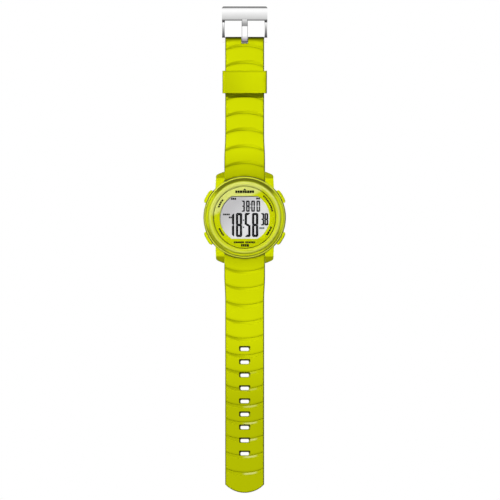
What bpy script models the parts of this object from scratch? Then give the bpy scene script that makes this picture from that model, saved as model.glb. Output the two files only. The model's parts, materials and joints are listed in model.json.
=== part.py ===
"""A digital sports wristwatch, laid out flat: case, module, buttons, strap, keeper and buckle.

The frame's origin is the centre of the caseback's outer face. +Z points up through the lens,
+Y towards the buckle (12 o'clock) and +X towards 3 o'clock. Lengths are in metres.
"""

import math

import bmesh
import bpy
from mathutils import Matrix, Vector

MM = 0.001

# Case, as radii and heights.
CASE_RADIUS = 21.4 * MM
CASE_BOTTOM = 0.4 * MM
CASE_FOOT_RADIUS = 20.6 * MM
RIM_INNER = 20.15 * MM
RIM_TOP = 10.2 * MM
RIM_EDGE = 9.5 * MM
CAVITY_RADIUS = 16.4 * MM
CAVITY_TOP = 8.9 * MM
LEDGE_RADIUS = 14.6 * MM
DIAL_SEAT = 9.4 * MM
OPENING_RADIUS = 16.4 * MM
GROOVE_FLOOR = 9.05 * MM

# Bezel ring.
BEZEL_OUTER = 19.0 * MM
BEZEL_INNER = 16.45 * MM
BEZEL_SEAT = 10.0 * MM
BEZEL_BOTTOM = 10.1 * MM
BEZEL_TOP = 12.6 * MM
BEZEL_CHAMFER = 0.7 * MM

# Caseback, its screws and its gasket.
BACK_RADIUS = 20.0 * MM
BACK_HALF_LENGTH = 17.3 * MM
BACK_THICKNESS = 1.0 * MM
BACK_PLAY = 0.1 * MM
SCREW_CIRCLE = 18.35 * MM
SCREW_HEAD_RADIUS = 1.25 * MM
SCREW_RADIUS = 0.55 * MM
SCREW_TOP = 5.0 * MM
SCREW_HEAD_HEIGHT = 0.6 * MM
SCREW_FACE = 0.06 * MM
GASKET_INNER = 16.5 * MM
GASKET_OUTER = 17.05 * MM
GASKET_TOP = 1.55 * MM

# Lens, dial and display.
LENS_RADIUS = 15.9 * MM
LENS_BOTTOM = 9.9 * MM
LENS_TOP = 11.9 * MM
LENS_SEAL_OUTER = 16.3 * MM
LENS_SEAL_INNER = 16.0 * MM
LENS_SEAL_TOP = 11.7 * MM
DIAL_RADIUS = 16.1 * MM
DIAL_THICKNESS = 0.3 * MM
WINDOW_RADIUS = 13.1 * MM
WINDOW_HALF_HEIGHT = 11.3 * MM
LCD_BOTTOM = 7.4 * MM
LCD_THICKNESS = 1.3 * MM
LCD_HALF_WIDTH = 13.4 * MM
LCD_HALF_HEIGHT = 11.4 * MM
LCD_CORNER_X = 2.5 * MM
LCD_CORNER_Y = 3.8 * MM

# Module.
BOARD_RADIUS = 15.5 * MM
BOARD_BOTTOM = 4.3 * MM
BOARD_TOP = 5.0 * MM
ON_BOARD = 5.05 * MM
FRAME_RADIUS = 16.2 * MM
FRAME_TOP = 8.8 * MM
NOTCH_TOP = 7.3 * MM
NOTCH_RADIUS = 13.6 * MM
NOTCH_HALF_WIDTH = 2.0 * MM
ZEBRA_HALF = (10.0 * MM, 0.6 * MM)
ZEBRA_Y = 10.4 * MM
BACKLIGHT_HALF = (11.0 * MM, 8.8 * MM)
BACKLIGHT_BOTTOM = 6.5 * MM
BACKLIGHT_THICKNESS = 0.6 * MM
BATTERY_X = -3.5 * MM
BATTERY_RADIUS = 10.0 * MM
BATTERY_BOTTOM = 1.75 * MM
BATTERY_TOP = 4.15 * MM
CELL_CLIP_SHEET = 0.15 * MM
BUZZER_RADIUS = 10.5 * MM
BUZZER_BOTTOM = 1.05 * MM
BUZZER_TOP = 1.25 * MM
SHEET_RADIUS = 15.0 * MM
SHEET_BOTTOM = 1.35 * MM
SHEET_TOP = 1.5 * MM
BUZZER_SPRING_X = 9.0 * MM

# Lugs and spring bars.
LUG_INNER = 10.65 * MM
LUG_OUTER = 15.3 * MM
LUG_TIP = 23.7 * MM
LUG_TOP = 8.3 * MM
LUG_BOTTOM = 1.0 * MM
BAR_Y = 20.9 * MM
BAR_Z = 4.4 * MM
BAR_TUBE_RADIUS = 0.9 * MM
BAR_TUBE_BORE = 0.6 * MM
BAR_TUBE_HALF = 10.2 * MM
TIP_RADIUS = 0.4 * MM
TIP_COLLAR_RADIUS = 0.52 * MM
TIP_END = 11.7 * MM
TIP_COLLAR_END = 9.0 * MM
TIP_INNER_END = 6.5 * MM
TIP_HOLE_RADIUS = 0.5 * MM
TIP_HOLE_END = 11.9 * MM
RECESS_WALL_Y = 18.0 * MM
RECESS_TOP = 7.6 * MM

# Buttons. Each is built pointing along +X, then turned about the case's axis.
BUTTON_Z = 5.6 * MM
BUTTON_ANGLES = {"upper_right": 30, "upper_left": 150, "lower_left": 210, "lower_right": 330}
CAP_OUTER = 22.9 * MM
CAP_INNER = 21.0 * MM
CAP_HALF_WIDTH = 3.7 * MM
CAP_HALF_HEIGHT = 1.75 * MM
POCKET_FLOOR = 20.15 * MM
POCKET_HALF_WIDTH = 3.9 * MM
POCKET_HALF_HEIGHT = 2.0 * MM
STEM_RADIUS = 1.15 * MM
STEM_NECK = 0.7 * MM
STEM_BORE = 1.27 * MM
STEM_END = 15.3 * MM
SPRING_POCKET_RADIUS = 2.15 * MM
SPRING_POCKET_FLOOR = 19.1 * MM
RETURN_SPRING_RADIUS = 1.6 * MM
RING_CENTRE = 17.9 * MM
RING_MAJOR = 0.98 * MM
RING_MINOR = 0.2 * MM
CLIP_FACES = (15.85 * MM, 16.1 * MM)
CLIP_RADIUS = 1.45 * MM
CLIP_SLOT_HALF = 0.65 * MM

# Strap, by distance from the case's centre.
STRAP_HALF_WIDTH = 10.55 * MM
STRAP_NARROW_HALF = 10.0 * MM
TAPER_START = 30.0 * MM
TAPER_END = 43.0 * MM
KNUCKLE_RADIUS = 2.4 * MM
KNUCKLE_BORE = 1.0 * MM
STRAP_SHOULDER = 22.6 * MM
TAIL_LEVEL_FROM = 52.0 * MM
HALF_LEVEL_FROM = 45.5 * MM
HALF_UNDERSIDE = 1.35 * MM
STRAP_THICKNESS = 2.7 * MM
STRAP_END = 93.8 * MM
TAIL_STRAIGHT_END = 138.7 * MM
TAIL_TIP = 143.0 * MM
FIRST_GROOVE = 27.9 * MM
GROOVE_PITCH = 8.7 * MM
GROOVE_ARC_RADIUS = 25.0 * MM
GROOVE_TOOL_RADIUS = 0.56 * MM
GROOVE_TOOL_LIFT = 0.1 * MM
HALF_GROOVES = 8
TAIL_GROOVES = 13
FIRST_SLOT = 68.1 * MM
SLOT_PITCH = 6.79 * MM
SLOTS = 9
SLOT_HALF_WIDTH = 2.7 * MM
SLOT_HALF_HEIGHT = 1.2 * MM
SLOT_CORNER = 0.7 * MM

# Keeper.
KEEPER_Y = 70.3 * MM
KEEPER_HALF_LENGTH = 5.8 * MM
KEEPER_HALF_WIDTH = 11.55 * MM
KEEPER_HEIGHT = 8.1 * MM
KEEPER_WALL = 1.2 * MM

# Buckle, pin and tongue.
PIN_Y = 92.1 * MM
PIN_Z = 2.7 * MM
PIN_RADIUS = 0.75 * MM
PIN_BORE = 0.85 * MM
PIN_HALF = 11.2 * MM
PIN_HOLE_HALF = 11.35 * MM
BUCKLE_HALF_WIDTH = 11.78 * MM
BUCKLE_INNER_HALF = 10.15 * MM
BUCKLE_START = 90.9 * MM
BUCKLE_GAP_END = 102.2 * MM
BUCKLE_END = 109.7 * MM
BUCKLE_CORNER = 1.0 * MM
NOTCH_START = 90.6 * MM
NOTCH_HALF = 2.0 * MM
TONGUE_HALF_WIDTH = 1.55 * MM
TONGUE_HUB_RADIUS = 1.35 * MM

ROUND_STEPS = 60
DISC_STEPS = 40
SMALL_STEPS = 20
TINY_STEPS = 16

# An outline's own X and Y are laid along +Y and +Z, or along +X and +Z.
SIDE_ON = Matrix(((0, 0, 1), (1, 0, 0), (0, 1, 0))).to_4x4()
UPRIGHT = Matrix.Rotation(math.pi / 2, 4, "X")
# A body turned about its own Z is laid down with its Z along +X.
ALONG_X = Matrix.Rotation(math.pi / 2, 4, "Y")

RESIN = (0.62, 0.70, 0.01)
FINISHES = {
    "resin": (RESIN, 0.45, 0.0),
    "gloss_resin": (RESIN, 0.25, 0.0),
    "steel": ((0.60, 0.60, 0.62), 0.25, 1.0),
    "spring_wire": ((0.45, 0.45, 0.47), 0.30, 1.0),
    "brass": ((0.72, 0.52, 0.22), 0.30, 1.0),
    "seal": ((0.02, 0.02, 0.02), 0.70, 0.0),
    "lens": ((0.90, 0.93, 0.95), 0.05, 0.0),
    "display": ((0.60, 0.62, 0.60), 0.20, 0.0),
    "diffuser": ((0.85, 0.87, 0.85), 0.40, 0.0),
    "module_plastic": ((0.05, 0.05, 0.06), 0.50, 0.0),
    "board": ((0.03, 0.22, 0.09), 0.45, 0.0),
    "insulator": ((0.75, 0.45, 0.08), 0.40, 0.0),
    "ceramic": ((0.80, 0.80, 0.76), 0.50, 0.0),
}


def clear_scene():
    """Remove every object of the open file."""
    for obj in list(bpy.data.objects):
        bpy.data.objects.remove(obj, do_unlink=True)


def new_collection(name):
    """A collection linked to the scene."""
    collection = bpy.data.collections.new(name)
    bpy.context.scene.collection.children.link(collection)
    return collection


clear_scene()
PARTS = new_collection("sports_watch")
CUTTERS = new_collection("cutters")


def finish(name, finish_name):
    """A Principled material for one sub-part."""
    colour, roughness, metallic = FINISHES[finish_name]
    made = bpy.data.materials.new(name)
    made.use_nodes = True
    made.diffuse_color = (*colour, 1.0)
    shader = made.node_tree.nodes["Principled BSDF"]
    shader.inputs["Base Color"].default_value = (*colour, 1.0)
    shader.inputs["Roughness"].default_value = roughness
    shader.inputs["Metallic"].default_value = metallic
    return made


def move_to(obj, collection):
    """Put an object in one collection only."""
    for current in list(obj.users_collection):
        current.objects.unlink(obj)
    collection.objects.link(obj)


def part(obj, finish_name, parent=None):
    """Make an object a named sub-part with its own finish, smooth where it is round."""
    move_to(obj, PARTS)
    obj.data.materials.clear()
    obj.data.materials.append(finish(obj.name, finish_name))
    obj.data.shade_smooth()
    obj.data.set_sharp_from_angle(angle=math.radians(35))
    if parent is not None:
        obj.parent = parent
    return obj


def with_origin(obj, point):
    """Move an object's origin to a point in the world, and leave its shape where it is."""
    local = obj.matrix_world.inverted() @ Vector(point)
    obj.data.transform(Matrix.Translation(-local))
    obj.matrix_world = obj.matrix_world @ Matrix.Translation(local)
    return obj


def boolean(obj, tool, operation):
    """Cut, join or intersect an object with a tool, which is drawn as wire and not rendered."""
    move_to(tool, CUTTERS)
    tool.display_type = "WIRE"
    tool.hide_render = True
    modifier = obj.modifiers.new(tool.name, "BOOLEAN")
    modifier.operation = operation
    modifier.object = tool
    return obj


def cut(obj, *tools):
    """Take each tool's shape out of an object."""
    for tool in tools:
        boolean(obj, tool, "DIFFERENCE")
    return obj


def linked(name, data, placed=None):
    """A new object in the scene."""
    obj = bpy.data.objects.new(name, data)
    bpy.context.scene.collection.objects.link(obj)
    if placed is not None:
        obj.matrix_world = placed
    return obj


def as_mesh(source):
    """Turn a curve, or an object with modifiers, into a closed mesh object."""
    name = source.name
    source.name = name + "_source"
    bpy.context.view_layer.update()
    graph = bpy.context.evaluated_depsgraph_get()
    mesh = bpy.data.meshes.new_from_object(source.evaluated_get(graph), depsgraph=graph)
    solid = bmesh.new()
    solid.from_mesh(mesh)
    bmesh.ops.remove_doubles(solid, verts=solid.verts, dist=0.002 * MM)
    bmesh.ops.recalc_face_normals(solid, faces=solid.faces)
    solid.to_mesh(mesh)
    solid.free()
    placed = source.matrix_world.copy()
    bpy.data.objects.remove(source, do_unlink=True)
    return linked(name, mesh, placed)


def prism(name, outlines, low, high, placed=None):
    """Flat outlines made into a solid between two heights; an outline inside another is a hole."""
    curve = bpy.data.curves.new(name, "CURVE")
    curve.dimensions = "2D"
    curve.fill_mode = "BOTH"
    curve.extrude = (high - low) / 2
    for outline in outlines:
        spline = curve.splines.new("POLY")
        spline.points.add(len(outline) - 1)
        for point, (x, y) in zip(spline.points, outline):
            point.co = (x, y, 0.0, 1.0)
        spline.use_cyclic_u = True
    lift = Matrix.Translation((0, 0, (low + high) / 2))
    return as_mesh(linked(name, curve, (placed or Matrix()) @ lift))


def tube(name, paths, radius, resolution, placed=None):
    """Round wires along paths, with closed ends."""
    curve = bpy.data.curves.new(name, "CURVE")
    curve.dimensions = "3D"
    curve.bevel_depth = radius
    curve.bevel_resolution = resolution
    curve.use_fill_caps = True
    for path in paths:
        spline = curve.splines.new("POLY")
        spline.points.add(len(path) - 1)
        for point, place in zip(spline.points, path):
            point.co = (*place, 1.0)
    return as_mesh(linked(name, curve, placed))


def turned(name, profile, steps, placed=None, closed=False):
    """A solid of revolution about Z. Its profile, of radii and heights, runs down the outside;
    a closed profile comes back up the inside, and an open one starts and ends on the axis."""
    mesh = bpy.data.meshes.new(name)
    edges = [(i, i + 1) for i in range(len(profile) - 1)]
    if closed:
        edges.append((len(profile) - 1, 0))
    mesh.from_pydata([(radius, 0.0, height) for radius, height in profile], edges, [])
    obj = linked(name, mesh, placed)
    screw = obj.modifiers.new("turn", "SCREW")
    screw.steps = steps
    screw.render_steps = steps
    screw.use_merge_vertices = True
    screw.merge_threshold = 0.002 * MM
    return as_mesh(obj)


def ring(name, inner, outer, low, high, steps, placed=None):
    """A plain turned ring."""
    profile = [(outer, high), (outer, low), (inner, low), (inner, high)]
    return turned(name, profile, steps, placed, closed=True)


def cylinder(name, radius, low, high, steps, placed=None):
    """A plain turned cylinder between two heights."""
    return turned(name, [(0, high), (radius, high), (radius, low), (0, low)], steps, placed)


def rectangle(low, high):
    """A rectangle's outline between two corners."""
    return [(low[0], low[1]), (high[0], low[1]), (high[0], high[1]), (low[0], high[1])]


def arc(centre, radius, start, end, steps):
    """Points along an arc, from one angle in degrees to another."""
    angles = [math.radians(start + (end - start) * i / steps) for i in range(steps + 1)]
    return [(centre[0] + radius * math.cos(a), centre[1] + radius * math.sin(a)) for a in angles]


def circle(centre, radius, steps):
    """A circle's outline."""
    return arc(centre, radius, 0, 360 - 360 / steps, steps - 1)


def rounded_rectangle(centre, half_width, half_height, corner, steps=4):
    """A rectangle's outline with round corners."""
    points = []
    for turn, (sx, sy) in enumerate([(1, 1), (-1, 1), (-1, -1), (1, -1)]):
        middle = (centre[0] + sx * (half_width - corner), centre[1] + sy * (half_height - corner))
        points += arc(middle, corner, 90 * turn, 90 * turn + 90, steps)
    return points


def clipped_circle(radius, half_height, steps=48):
    """A circle's outline cut flat at the top and the bottom."""
    corner = math.degrees(math.asin(half_height / radius))
    right = arc((0, 0), radius, -corner, corner, steps // 2)
    left = arc((0, 0), radius, 180 - corner, 180 + corner, steps // 2)
    return right + left


def helix(radius, low, high, turns, steps_per_turn):
    """Points of a coil about Z."""
    count = round(turns * steps_per_turn)
    points = []
    for i in range(count + 1):
        angle = 2 * math.pi * i / steps_per_turn
        height = low + (high - low) * i / count
        points.append((radius * math.cos(angle), radius * math.sin(angle), height))
    return points


def ease(value, start, end):
    """0 before start, 1 after end, and a smooth step between them."""
    share = min(1.0, max(0.0, (value - start) / (end - start)))
    return share * share * (3 - 2 * share)


def mirrored(obj, x_axis, y_axis):
    """Copy an object's shape across the world's YZ plane, its XZ plane or both."""
    obj.data.transform(obj.matrix_world)
    obj.matrix_world = Matrix()
    mirror = obj.modifiers.new("mirror", "MIRROR")
    mirror.use_axis = (x_axis, y_axis, False)
    mirror.use_mirror_merge = False
    return obj


def around_corners(radius):
    """The four points at 45 degrees between the axes, at a radius."""
    return [
        (radius * math.cos(math.radians(a)), radius * math.sin(math.radians(a)))
        for a in (45, 135, 225, 315)
    ]


# ---------------------------------------------------------------- case


def lug_tool():
    """The four lugs: one block, shaped in side view and in plan, mirrored twice."""
    root_y = 10.0 * MM
    side = [
        (root_y, LUG_BOTTOM),
        (21.5 * MM, LUG_BOTTOM),
        (23.0 * MM, 1.9 * MM),
        (LUG_TIP, 3.4 * MM),
        (LUG_TIP, 5.3 * MM),
        (22.9 * MM, 6.7 * MM),
        (19.8 * MM, LUG_TOP),
        (root_y, LUG_TOP),
    ]
    inside = LUG_INNER - 0.6 * MM
    plan = [
        (inside, root_y),
        (LUG_OUTER, root_y),
        (15.2 * MM, 14.9 * MM),
        (14.7 * MM, 21.8 * MM),
        (14.2 * MM, 22.5 * MM),
        (13.05 * MM, 23.05 * MM),
        (11.0 * MM, LUG_TIP),
        (inside, LUG_TIP),
    ]
    lug = prism("lugs", [side], 0, 2 * LUG_OUTER, SIDE_ON)
    boolean(lug, prism("lug_plan", [plan], 0, 2 * RIM_TOP), "INTERSECT")
    return mirrored(as_mesh(lug), True, True)


def cavity_tool():
    """The room for the module, with the ledge that carries the dial."""
    profile = [
        (0, 11 * MM),
        (OPENING_RADIUS, 11 * MM),
        (OPENING_RADIUS, DIAL_SEAT),
        (LEDGE_RADIUS, DIAL_SEAT),
        (LEDGE_RADIUS, CAVITY_TOP),
        (CAVITY_RADIUS, CAVITY_TOP),
        (CAVITY_RADIUS, 1.65 * MM),
        (17.15 * MM, 1.65 * MM),
        (17.15 * MM, 0.9 * MM),
        (0, 0.9 * MM),
    ]
    return turned("cavity", profile, ROUND_STEPS)


def button_tools(name, turn):
    """The pocket for a button's cap, and the bore for its stem and spring."""
    outline = rectangle(
        (POCKET_FLOOR, -POCKET_HALF_WIDTH), (CAP_OUTER + 1 * MM, POCKET_HALF_WIDTH)
    )
    low = BUTTON_Z - POCKET_HALF_HEIGHT
    high = BUTTON_Z + POCKET_HALF_HEIGHT
    pocket = prism("pocket_" + name, [outline], low, high, turn)
    profile = [
        (0, 20.5 * MM),
        (SPRING_POCKET_RADIUS, 20.5 * MM),
        (SPRING_POCKET_RADIUS, SPRING_POCKET_FLOOR),
        (STEM_BORE, SPRING_POCKET_FLOOR),
        (STEM_BORE, 15.5 * MM),
        (0, 15.5 * MM),
    ]
    lift = Matrix.Translation((0, 0, BUTTON_Z))
    bore = turned("bore_" + name, profile, SMALL_STEPS, turn @ lift @ ALONG_X)
    return pocket, bore


def make_case():
    """The case: a turned barrel with four lugs, bored out for everything it holds."""
    profile = [
        (0, BEZEL_SEAT),
        (BEZEL_OUTER, BEZEL_SEAT),
        (BEZEL_OUTER, GROOVE_FLOOR),
        (RIM_INNER, GROOVE_FLOOR),
        (RIM_INNER, RIM_TOP),
        (RIM_INNER + 0.2 * MM, RIM_TOP),
        (CASE_RADIUS, RIM_EDGE),
        (CASE_RADIUS, 2.4 * MM),
        (CASE_FOOT_RADIUS, CASE_BOTTOM),
        (0, CASE_BOTTOM),
    ]
    case = turned("case_body", profile, ROUND_STEPS)
    boolean(case, lug_tool(), "UNION")
    recess = rectangle((-LUG_INNER, RECESS_WALL_Y), (LUG_INNER, 30 * MM))
    strap_recess = mirrored(prism("strap_recess", [recess], -2 * MM, RECESS_TOP), False, True)
    back = clipped_circle(BACK_RADIUS + BACK_PLAY, BACK_HALF_LENGTH + BACK_PLAY)
    back_recess = prism("back_recess", [back], -1 * MM, BACK_THICKNESS + 0.05 * MM)
    tip_holes = cylinder("tip_holes", TIP_HOLE_RADIUS, -TIP_HOLE_END, TIP_HOLE_END, TINY_STEPS,
                         Matrix.Translation((0, BAR_Y, BAR_Z)) @ ALONG_X)
    cut(case, cavity_tool(), strap_recess, back_recess, mirrored(tip_holes, False, True))
    for name, angle in BUTTON_ANGLES.items():
        cut(case, *button_tools(name, Matrix.Rotation(math.radians(angle), 4, "Z")))
    for number, (x, y) in enumerate(around_corners(SCREW_CIRCLE), 1):
        hole = cylinder(f"screw_hole_{number}", SCREW_RADIUS + 0.07 * MM, 0.5 * MM,
                        SCREW_TOP + 0.3 * MM, TINY_STEPS, Matrix.Translation((x, y, 0)))
        cut(case, hole)
    part(case, "gloss_resin")


def make_bezel():
    """The ring around the lens, with chamfered edges."""
    profile = [
        (BEZEL_OUTER - BEZEL_CHAMFER, BEZEL_TOP),
        (BEZEL_OUTER, BEZEL_TOP - BEZEL_CHAMFER),
        (BEZEL_OUTER, BEZEL_BOTTOM),
        (BEZEL_INNER, BEZEL_BOTTOM),
        (BEZEL_INNER, BEZEL_TOP - 0.4 * MM),
        (BEZEL_INNER + 0.4 * MM, BEZEL_TOP),
    ]
    part(turned("bezel_ring", profile, ROUND_STEPS, closed=True), "gloss_resin")


def make_lens():
    """The lens and the seal around it."""
    profile = [
        (0, LENS_TOP),
        (LENS_RADIUS - 0.3 * MM, LENS_TOP),
        (LENS_RADIUS, LENS_TOP - 0.3 * MM),
        (LENS_RADIUS, LENS_BOTTOM),
        (0, LENS_BOTTOM),
    ]
    part(turned("lens", profile, ROUND_STEPS), "lens")
    seal = ring("lens_gasket", LENS_SEAL_INNER, LENS_SEAL_OUTER, LENS_BOTTOM, LENS_SEAL_TOP,
                ROUND_STEPS)
    part(seal, "seal")


def make_caseback():
    """The steel plate under the case, its gasket and its four screws."""
    outline = clipped_circle(BACK_RADIUS, BACK_HALF_LENGTH)
    plate = prism("caseback", [outline], 0, BACK_THICKNESS)
    for number, (x, y) in enumerate(around_corners(SCREW_CIRCLE), 1):
        place = Matrix.Translation((x, y, 0))
        sink = [
            (0, 2 * MM),
            (SCREW_RADIUS + 0.1 * MM, 2 * MM),
            (SCREW_RADIUS + 0.1 * MM, SCREW_HEAD_HEIGHT + 0.1 * MM),
            (SCREW_HEAD_RADIUS + 0.15 * MM, -0.05 * MM),
            (0, -0.05 * MM),
        ]
        cut(plate, turned(f"countersink_{number}", sink, SMALL_STEPS, place))
        part(make_screw(f"caseback_screw_{number}", place), "steel")
    part(plate, "steel")
    gasket = ring("caseback_gasket", GASKET_INNER, GASKET_OUTER, BACK_THICKNESS + 0.05 * MM,
                  GASKET_TOP, ROUND_STEPS)
    part(gasket, "seal")


def make_screw(name, place):
    """A countersunk screw, head down, with a slot."""
    profile = [
        (0, SCREW_TOP),
        (SCREW_RADIUS - 0.2 * MM, SCREW_TOP),
        (SCREW_RADIUS, SCREW_TOP - 0.3 * MM),
        (SCREW_RADIUS, SCREW_HEAD_HEIGHT),
        (SCREW_HEAD_RADIUS, SCREW_FACE),
        (0, SCREW_FACE),
    ]
    screw = turned(name, profile, TINY_STEPS, place)
    slot = rectangle((-0.8 * MM, -0.17 * MM), (0.8 * MM, 0.17 * MM))
    return cut(screw, prism(name + "_slot", [slot], -0.2 * MM, 0.33 * MM, place))


# ---------------------------------------------------------------- module


def lcd_outline(play=0.0):
    """The display glass: a rectangle with its corners cut off."""
    x = LCD_HALF_WIDTH + play
    y = LCD_HALF_HEIGHT + play
    near_x = x - LCD_CORNER_X
    near_y = y - LCD_CORNER_Y
    return [(x, -near_y), (x, near_y), (near_x, y), (-near_x, y),
            (-x, near_y), (-x, -near_y), (-near_x, -y), (near_x, -y)]


def make_display():
    """The dial plate, the display glass, its backlight and the strips that connect it."""
    window = clipped_circle(WINDOW_RADIUS, WINDOW_HALF_HEIGHT)
    disc = circle((0, 0), DIAL_RADIUS, ROUND_STEPS)
    dial_bottom = DIAL_SEAT + 0.1 * MM
    dial = prism("dial_plate", [disc, window], dial_bottom, dial_bottom + DIAL_THICKNESS)
    part(dial, "resin")
    lcd = prism("lcd_panel", [lcd_outline()], LCD_BOTTOM, LCD_BOTTOM + LCD_THICKNESS)
    part(lcd, "display")
    half_x, half_y = BACKLIGHT_HALF
    panel = rounded_rectangle((0, 0), half_x, half_y, 1 * MM, 2)
    backlight = prism("backlight_panel", [panel], BACKLIGHT_BOTTOM,
                      BACKLIGHT_BOTTOM + BACKLIGHT_THICKNESS)
    part(backlight, "diffuser")
    led = rounded_rectangle((12.1 * MM, 0), 0.6 * MM, 1 * MM, 0.15 * MM, 1)
    part(prism("backlight_led", [led], ON_BOARD, 6.9 * MM), "ceramic")
    half_x, half_y = ZEBRA_HALF
    for name, side in (("upper", 1), ("lower", -1)):
        strip = rounded_rectangle((0, side * ZEBRA_Y), half_x, half_y, 0.2 * MM, 1)
        zebra = prism("zebra_strip_" + name, [strip], ON_BOARD, LCD_BOTTOM - 0.05 * MM)
        part(zebra, "seal")


def notch_tools(owner):
    """Notches at the four buttons in a board or a frame, up to the notch height."""
    tools = []
    for name, angle in BUTTON_ANGLES.items():
        outline = rectangle((NOTCH_RADIUS, -NOTCH_HALF_WIDTH), (18 * MM, NOTCH_HALF_WIDTH))
        turn = Matrix.Rotation(math.radians(angle), 4, "Z")
        tools.append(prism(f"{owner}_notch_{name}", [outline], 3 * MM, NOTCH_TOP, turn))
    return tools


def make_module():
    """The frame, the circuit board and what is fixed to them."""
    disc = circle((0, 0), FRAME_RADIUS, ROUND_STEPS)
    frame = prism("module_frame", [disc, lcd_outline(0.1 * MM)], ON_BOARD, FRAME_TOP)
    part(cut(frame, *notch_tools("frame")), "module_plastic")
    board = cylinder("circuit_board", BOARD_RADIUS, BOARD_BOTTOM, BOARD_TOP, DISC_STEPS)
    part(cut(board, *notch_tools("board")), "board")
    chip = rounded_rectangle((-4 * MM, 0), 3 * MM, 3 * MM, 0.4 * MM, 2)
    part(prism("driver_chip", [chip], ON_BOARD, 5.95 * MM), "module_plastic")
    lie = Matrix.Translation((2 * MM, -5.5 * MM, 5.75 * MM)) @ ALONG_X
    can = [(0, 6 * MM), (0.5 * MM, 6 * MM), (0.65 * MM, 5.8 * MM), (0.65 * MM, 0), (0, 0)]
    part(turned("quartz_crystal", can, TINY_STEPS, lie), "steel")


def make_power():
    """The coin cell, the clip that holds it and the sheet that insulates it."""
    cell_profile = [
        (0, BATTERY_TOP),
        (8.6 * MM, BATTERY_TOP),
        (8.6 * MM, BATTERY_TOP - 0.2 * MM),
        (BATTERY_RADIUS - 0.2 * MM, BATTERY_TOP - 0.2 * MM),
        (BATTERY_RADIUS, BATTERY_TOP - 0.4 * MM),
        (BATTERY_RADIUS, BATTERY_BOTTOM + 0.2 * MM),
        (BATTERY_RADIUS - 0.2 * MM, BATTERY_BOTTOM),
        (0, BATTERY_BOTTOM),
    ]
    place = Matrix.Translation((BATTERY_X, 0, 0))
    part(turned("battery", cell_profile, DISC_STEPS, place), "steel")
    outer = BATTERY_RADIUS + 0.3 * MM
    inner = outer - CELL_CLIP_SHEET
    low = BATTERY_BOTTOM - 0.2 * MM
    floor = low + CELL_CLIP_SHEET
    top = BOARD_BOTTOM - 0.05 * MM
    channel = [(-outer, low), (outer, low), (outer, top), (inner, top),
               (inner, floor), (-inner, floor), (-inner, top), (-outer, top)]
    clip = prism("battery_clip", [channel], -1.5 * MM, 1.5 * MM, place @ SIDE_ON)
    part(clip, "spring_wire")
    disc = circle((0, 0), SHEET_RADIUS, DISC_STEPS)
    hole = circle((BUZZER_SPRING_X, 0), 1.3 * MM, 12)
    part(prism("insulator_sheet", [disc, hole], SHEET_BOTTOM, SHEET_TOP), "insulator")


def make_buzzer():
    """The buzzer disc on the caseback and the spring that connects it to the board."""
    disc = cylinder("buzzer_disc", BUZZER_RADIUS, BUZZER_BOTTOM, BUZZER_TOP, DISC_STEPS)
    part(disc, "brass")
    coil = helix(0.7 * MM, BUZZER_TOP + 0.2 * MM, BOARD_BOTTOM - 0.2 * MM, 5, 8)
    place = Matrix.Translation((BUZZER_SPRING_X, 0, 0))
    part(tube("buzzer_spring", [coil], 0.12 * MM, 0, place), "spring_wire")


# ---------------------------------------------------------------- buttons


def make_button(name, angle):
    """A button: cap and stem, O-ring, retaining clip, return spring and the contact it pushes."""
    axis = bpy.data.objects.new("axis_" + name, None)
    PARTS.objects.link(axis)
    axis.matrix_world = (Matrix.Rotation(math.radians(angle), 4, "Z")
                         @ Matrix.Translation((0, 0, BUTTON_Z)))
    bpy.context.view_layer.update()

    edge = math.degrees(math.asin(CAP_HALF_WIDTH / CAP_OUTER))
    plan = [(CAP_INNER, CAP_HALF_WIDTH), (CAP_INNER, -CAP_HALF_WIDTH)]
    plan += arc((0, 0), CAP_OUTER, -edge, edge, 10)
    cap = prism("button_" + name, [plan], -CAP_HALF_HEIGHT, CAP_HALF_HEIGHT)
    bevel = cap.modifiers.new("edges", "BEVEL")
    bevel.width = 0.35 * MM
    bevel.segments = 2
    bevel.limit_method = "ANGLE"
    bevel.angle_limit = math.radians(40)
    boolean(cap, stem_tool(name, axis), "UNION")
    part(cap, "gloss_resin", axis)

    bpy.ops.mesh.primitive_torus_add(
        major_radius=RING_MAJOR, minor_radius=RING_MINOR, major_segments=TINY_STEPS,
        minor_segments=5)
    o_ring = bpy.context.object
    o_ring.name = "button_o_ring_" + name
    o_ring.matrix_world = Matrix.Translation((RING_CENTRE, 0, 0)) @ ALONG_X
    part(o_ring, "seal", axis)

    low, high = CLIP_FACES
    clip = ring("button_clip_" + name, STEM_NECK + 0.05 * MM, CLIP_RADIUS, low, high,
                TINY_STEPS, ALONG_X)
    mouth = rectangle((low - 1 * MM, -CLIP_SLOT_HALF), (high + 1 * MM, CLIP_SLOT_HALF))
    slot = prism("clip_mouth_" + name, [mouth], -2 * MM, 0)
    slot.parent = axis
    part(cut(clip, slot), "steel", axis)

    coil = helix(RETURN_SPRING_RADIUS, SPRING_POCKET_FLOOR + 0.2 * MM, CAP_INNER - 0.2 * MM, 3, 10)
    spring = tube("button_spring_" + name, [coil], 0.14 * MM, 0, ALONG_X)
    part(spring, "spring_wire", axis)

    foot = ON_BOARD - BUTTON_Z
    sheet = 0.15 * MM
    blade = 14.15 * MM
    leaf = [(12.4 * MM, foot), (blade, foot), (blade, foot + 1.3 * MM),
            (blade - sheet, foot + 1.3 * MM), (blade - sheet, foot + sheet),
            (12.4 * MM, foot + sheet)]
    contact = prism("button_contact_" + name, [leaf], -1 * MM, 1 * MM, UPRIGHT)
    part(contact, "brass", axis)


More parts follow.
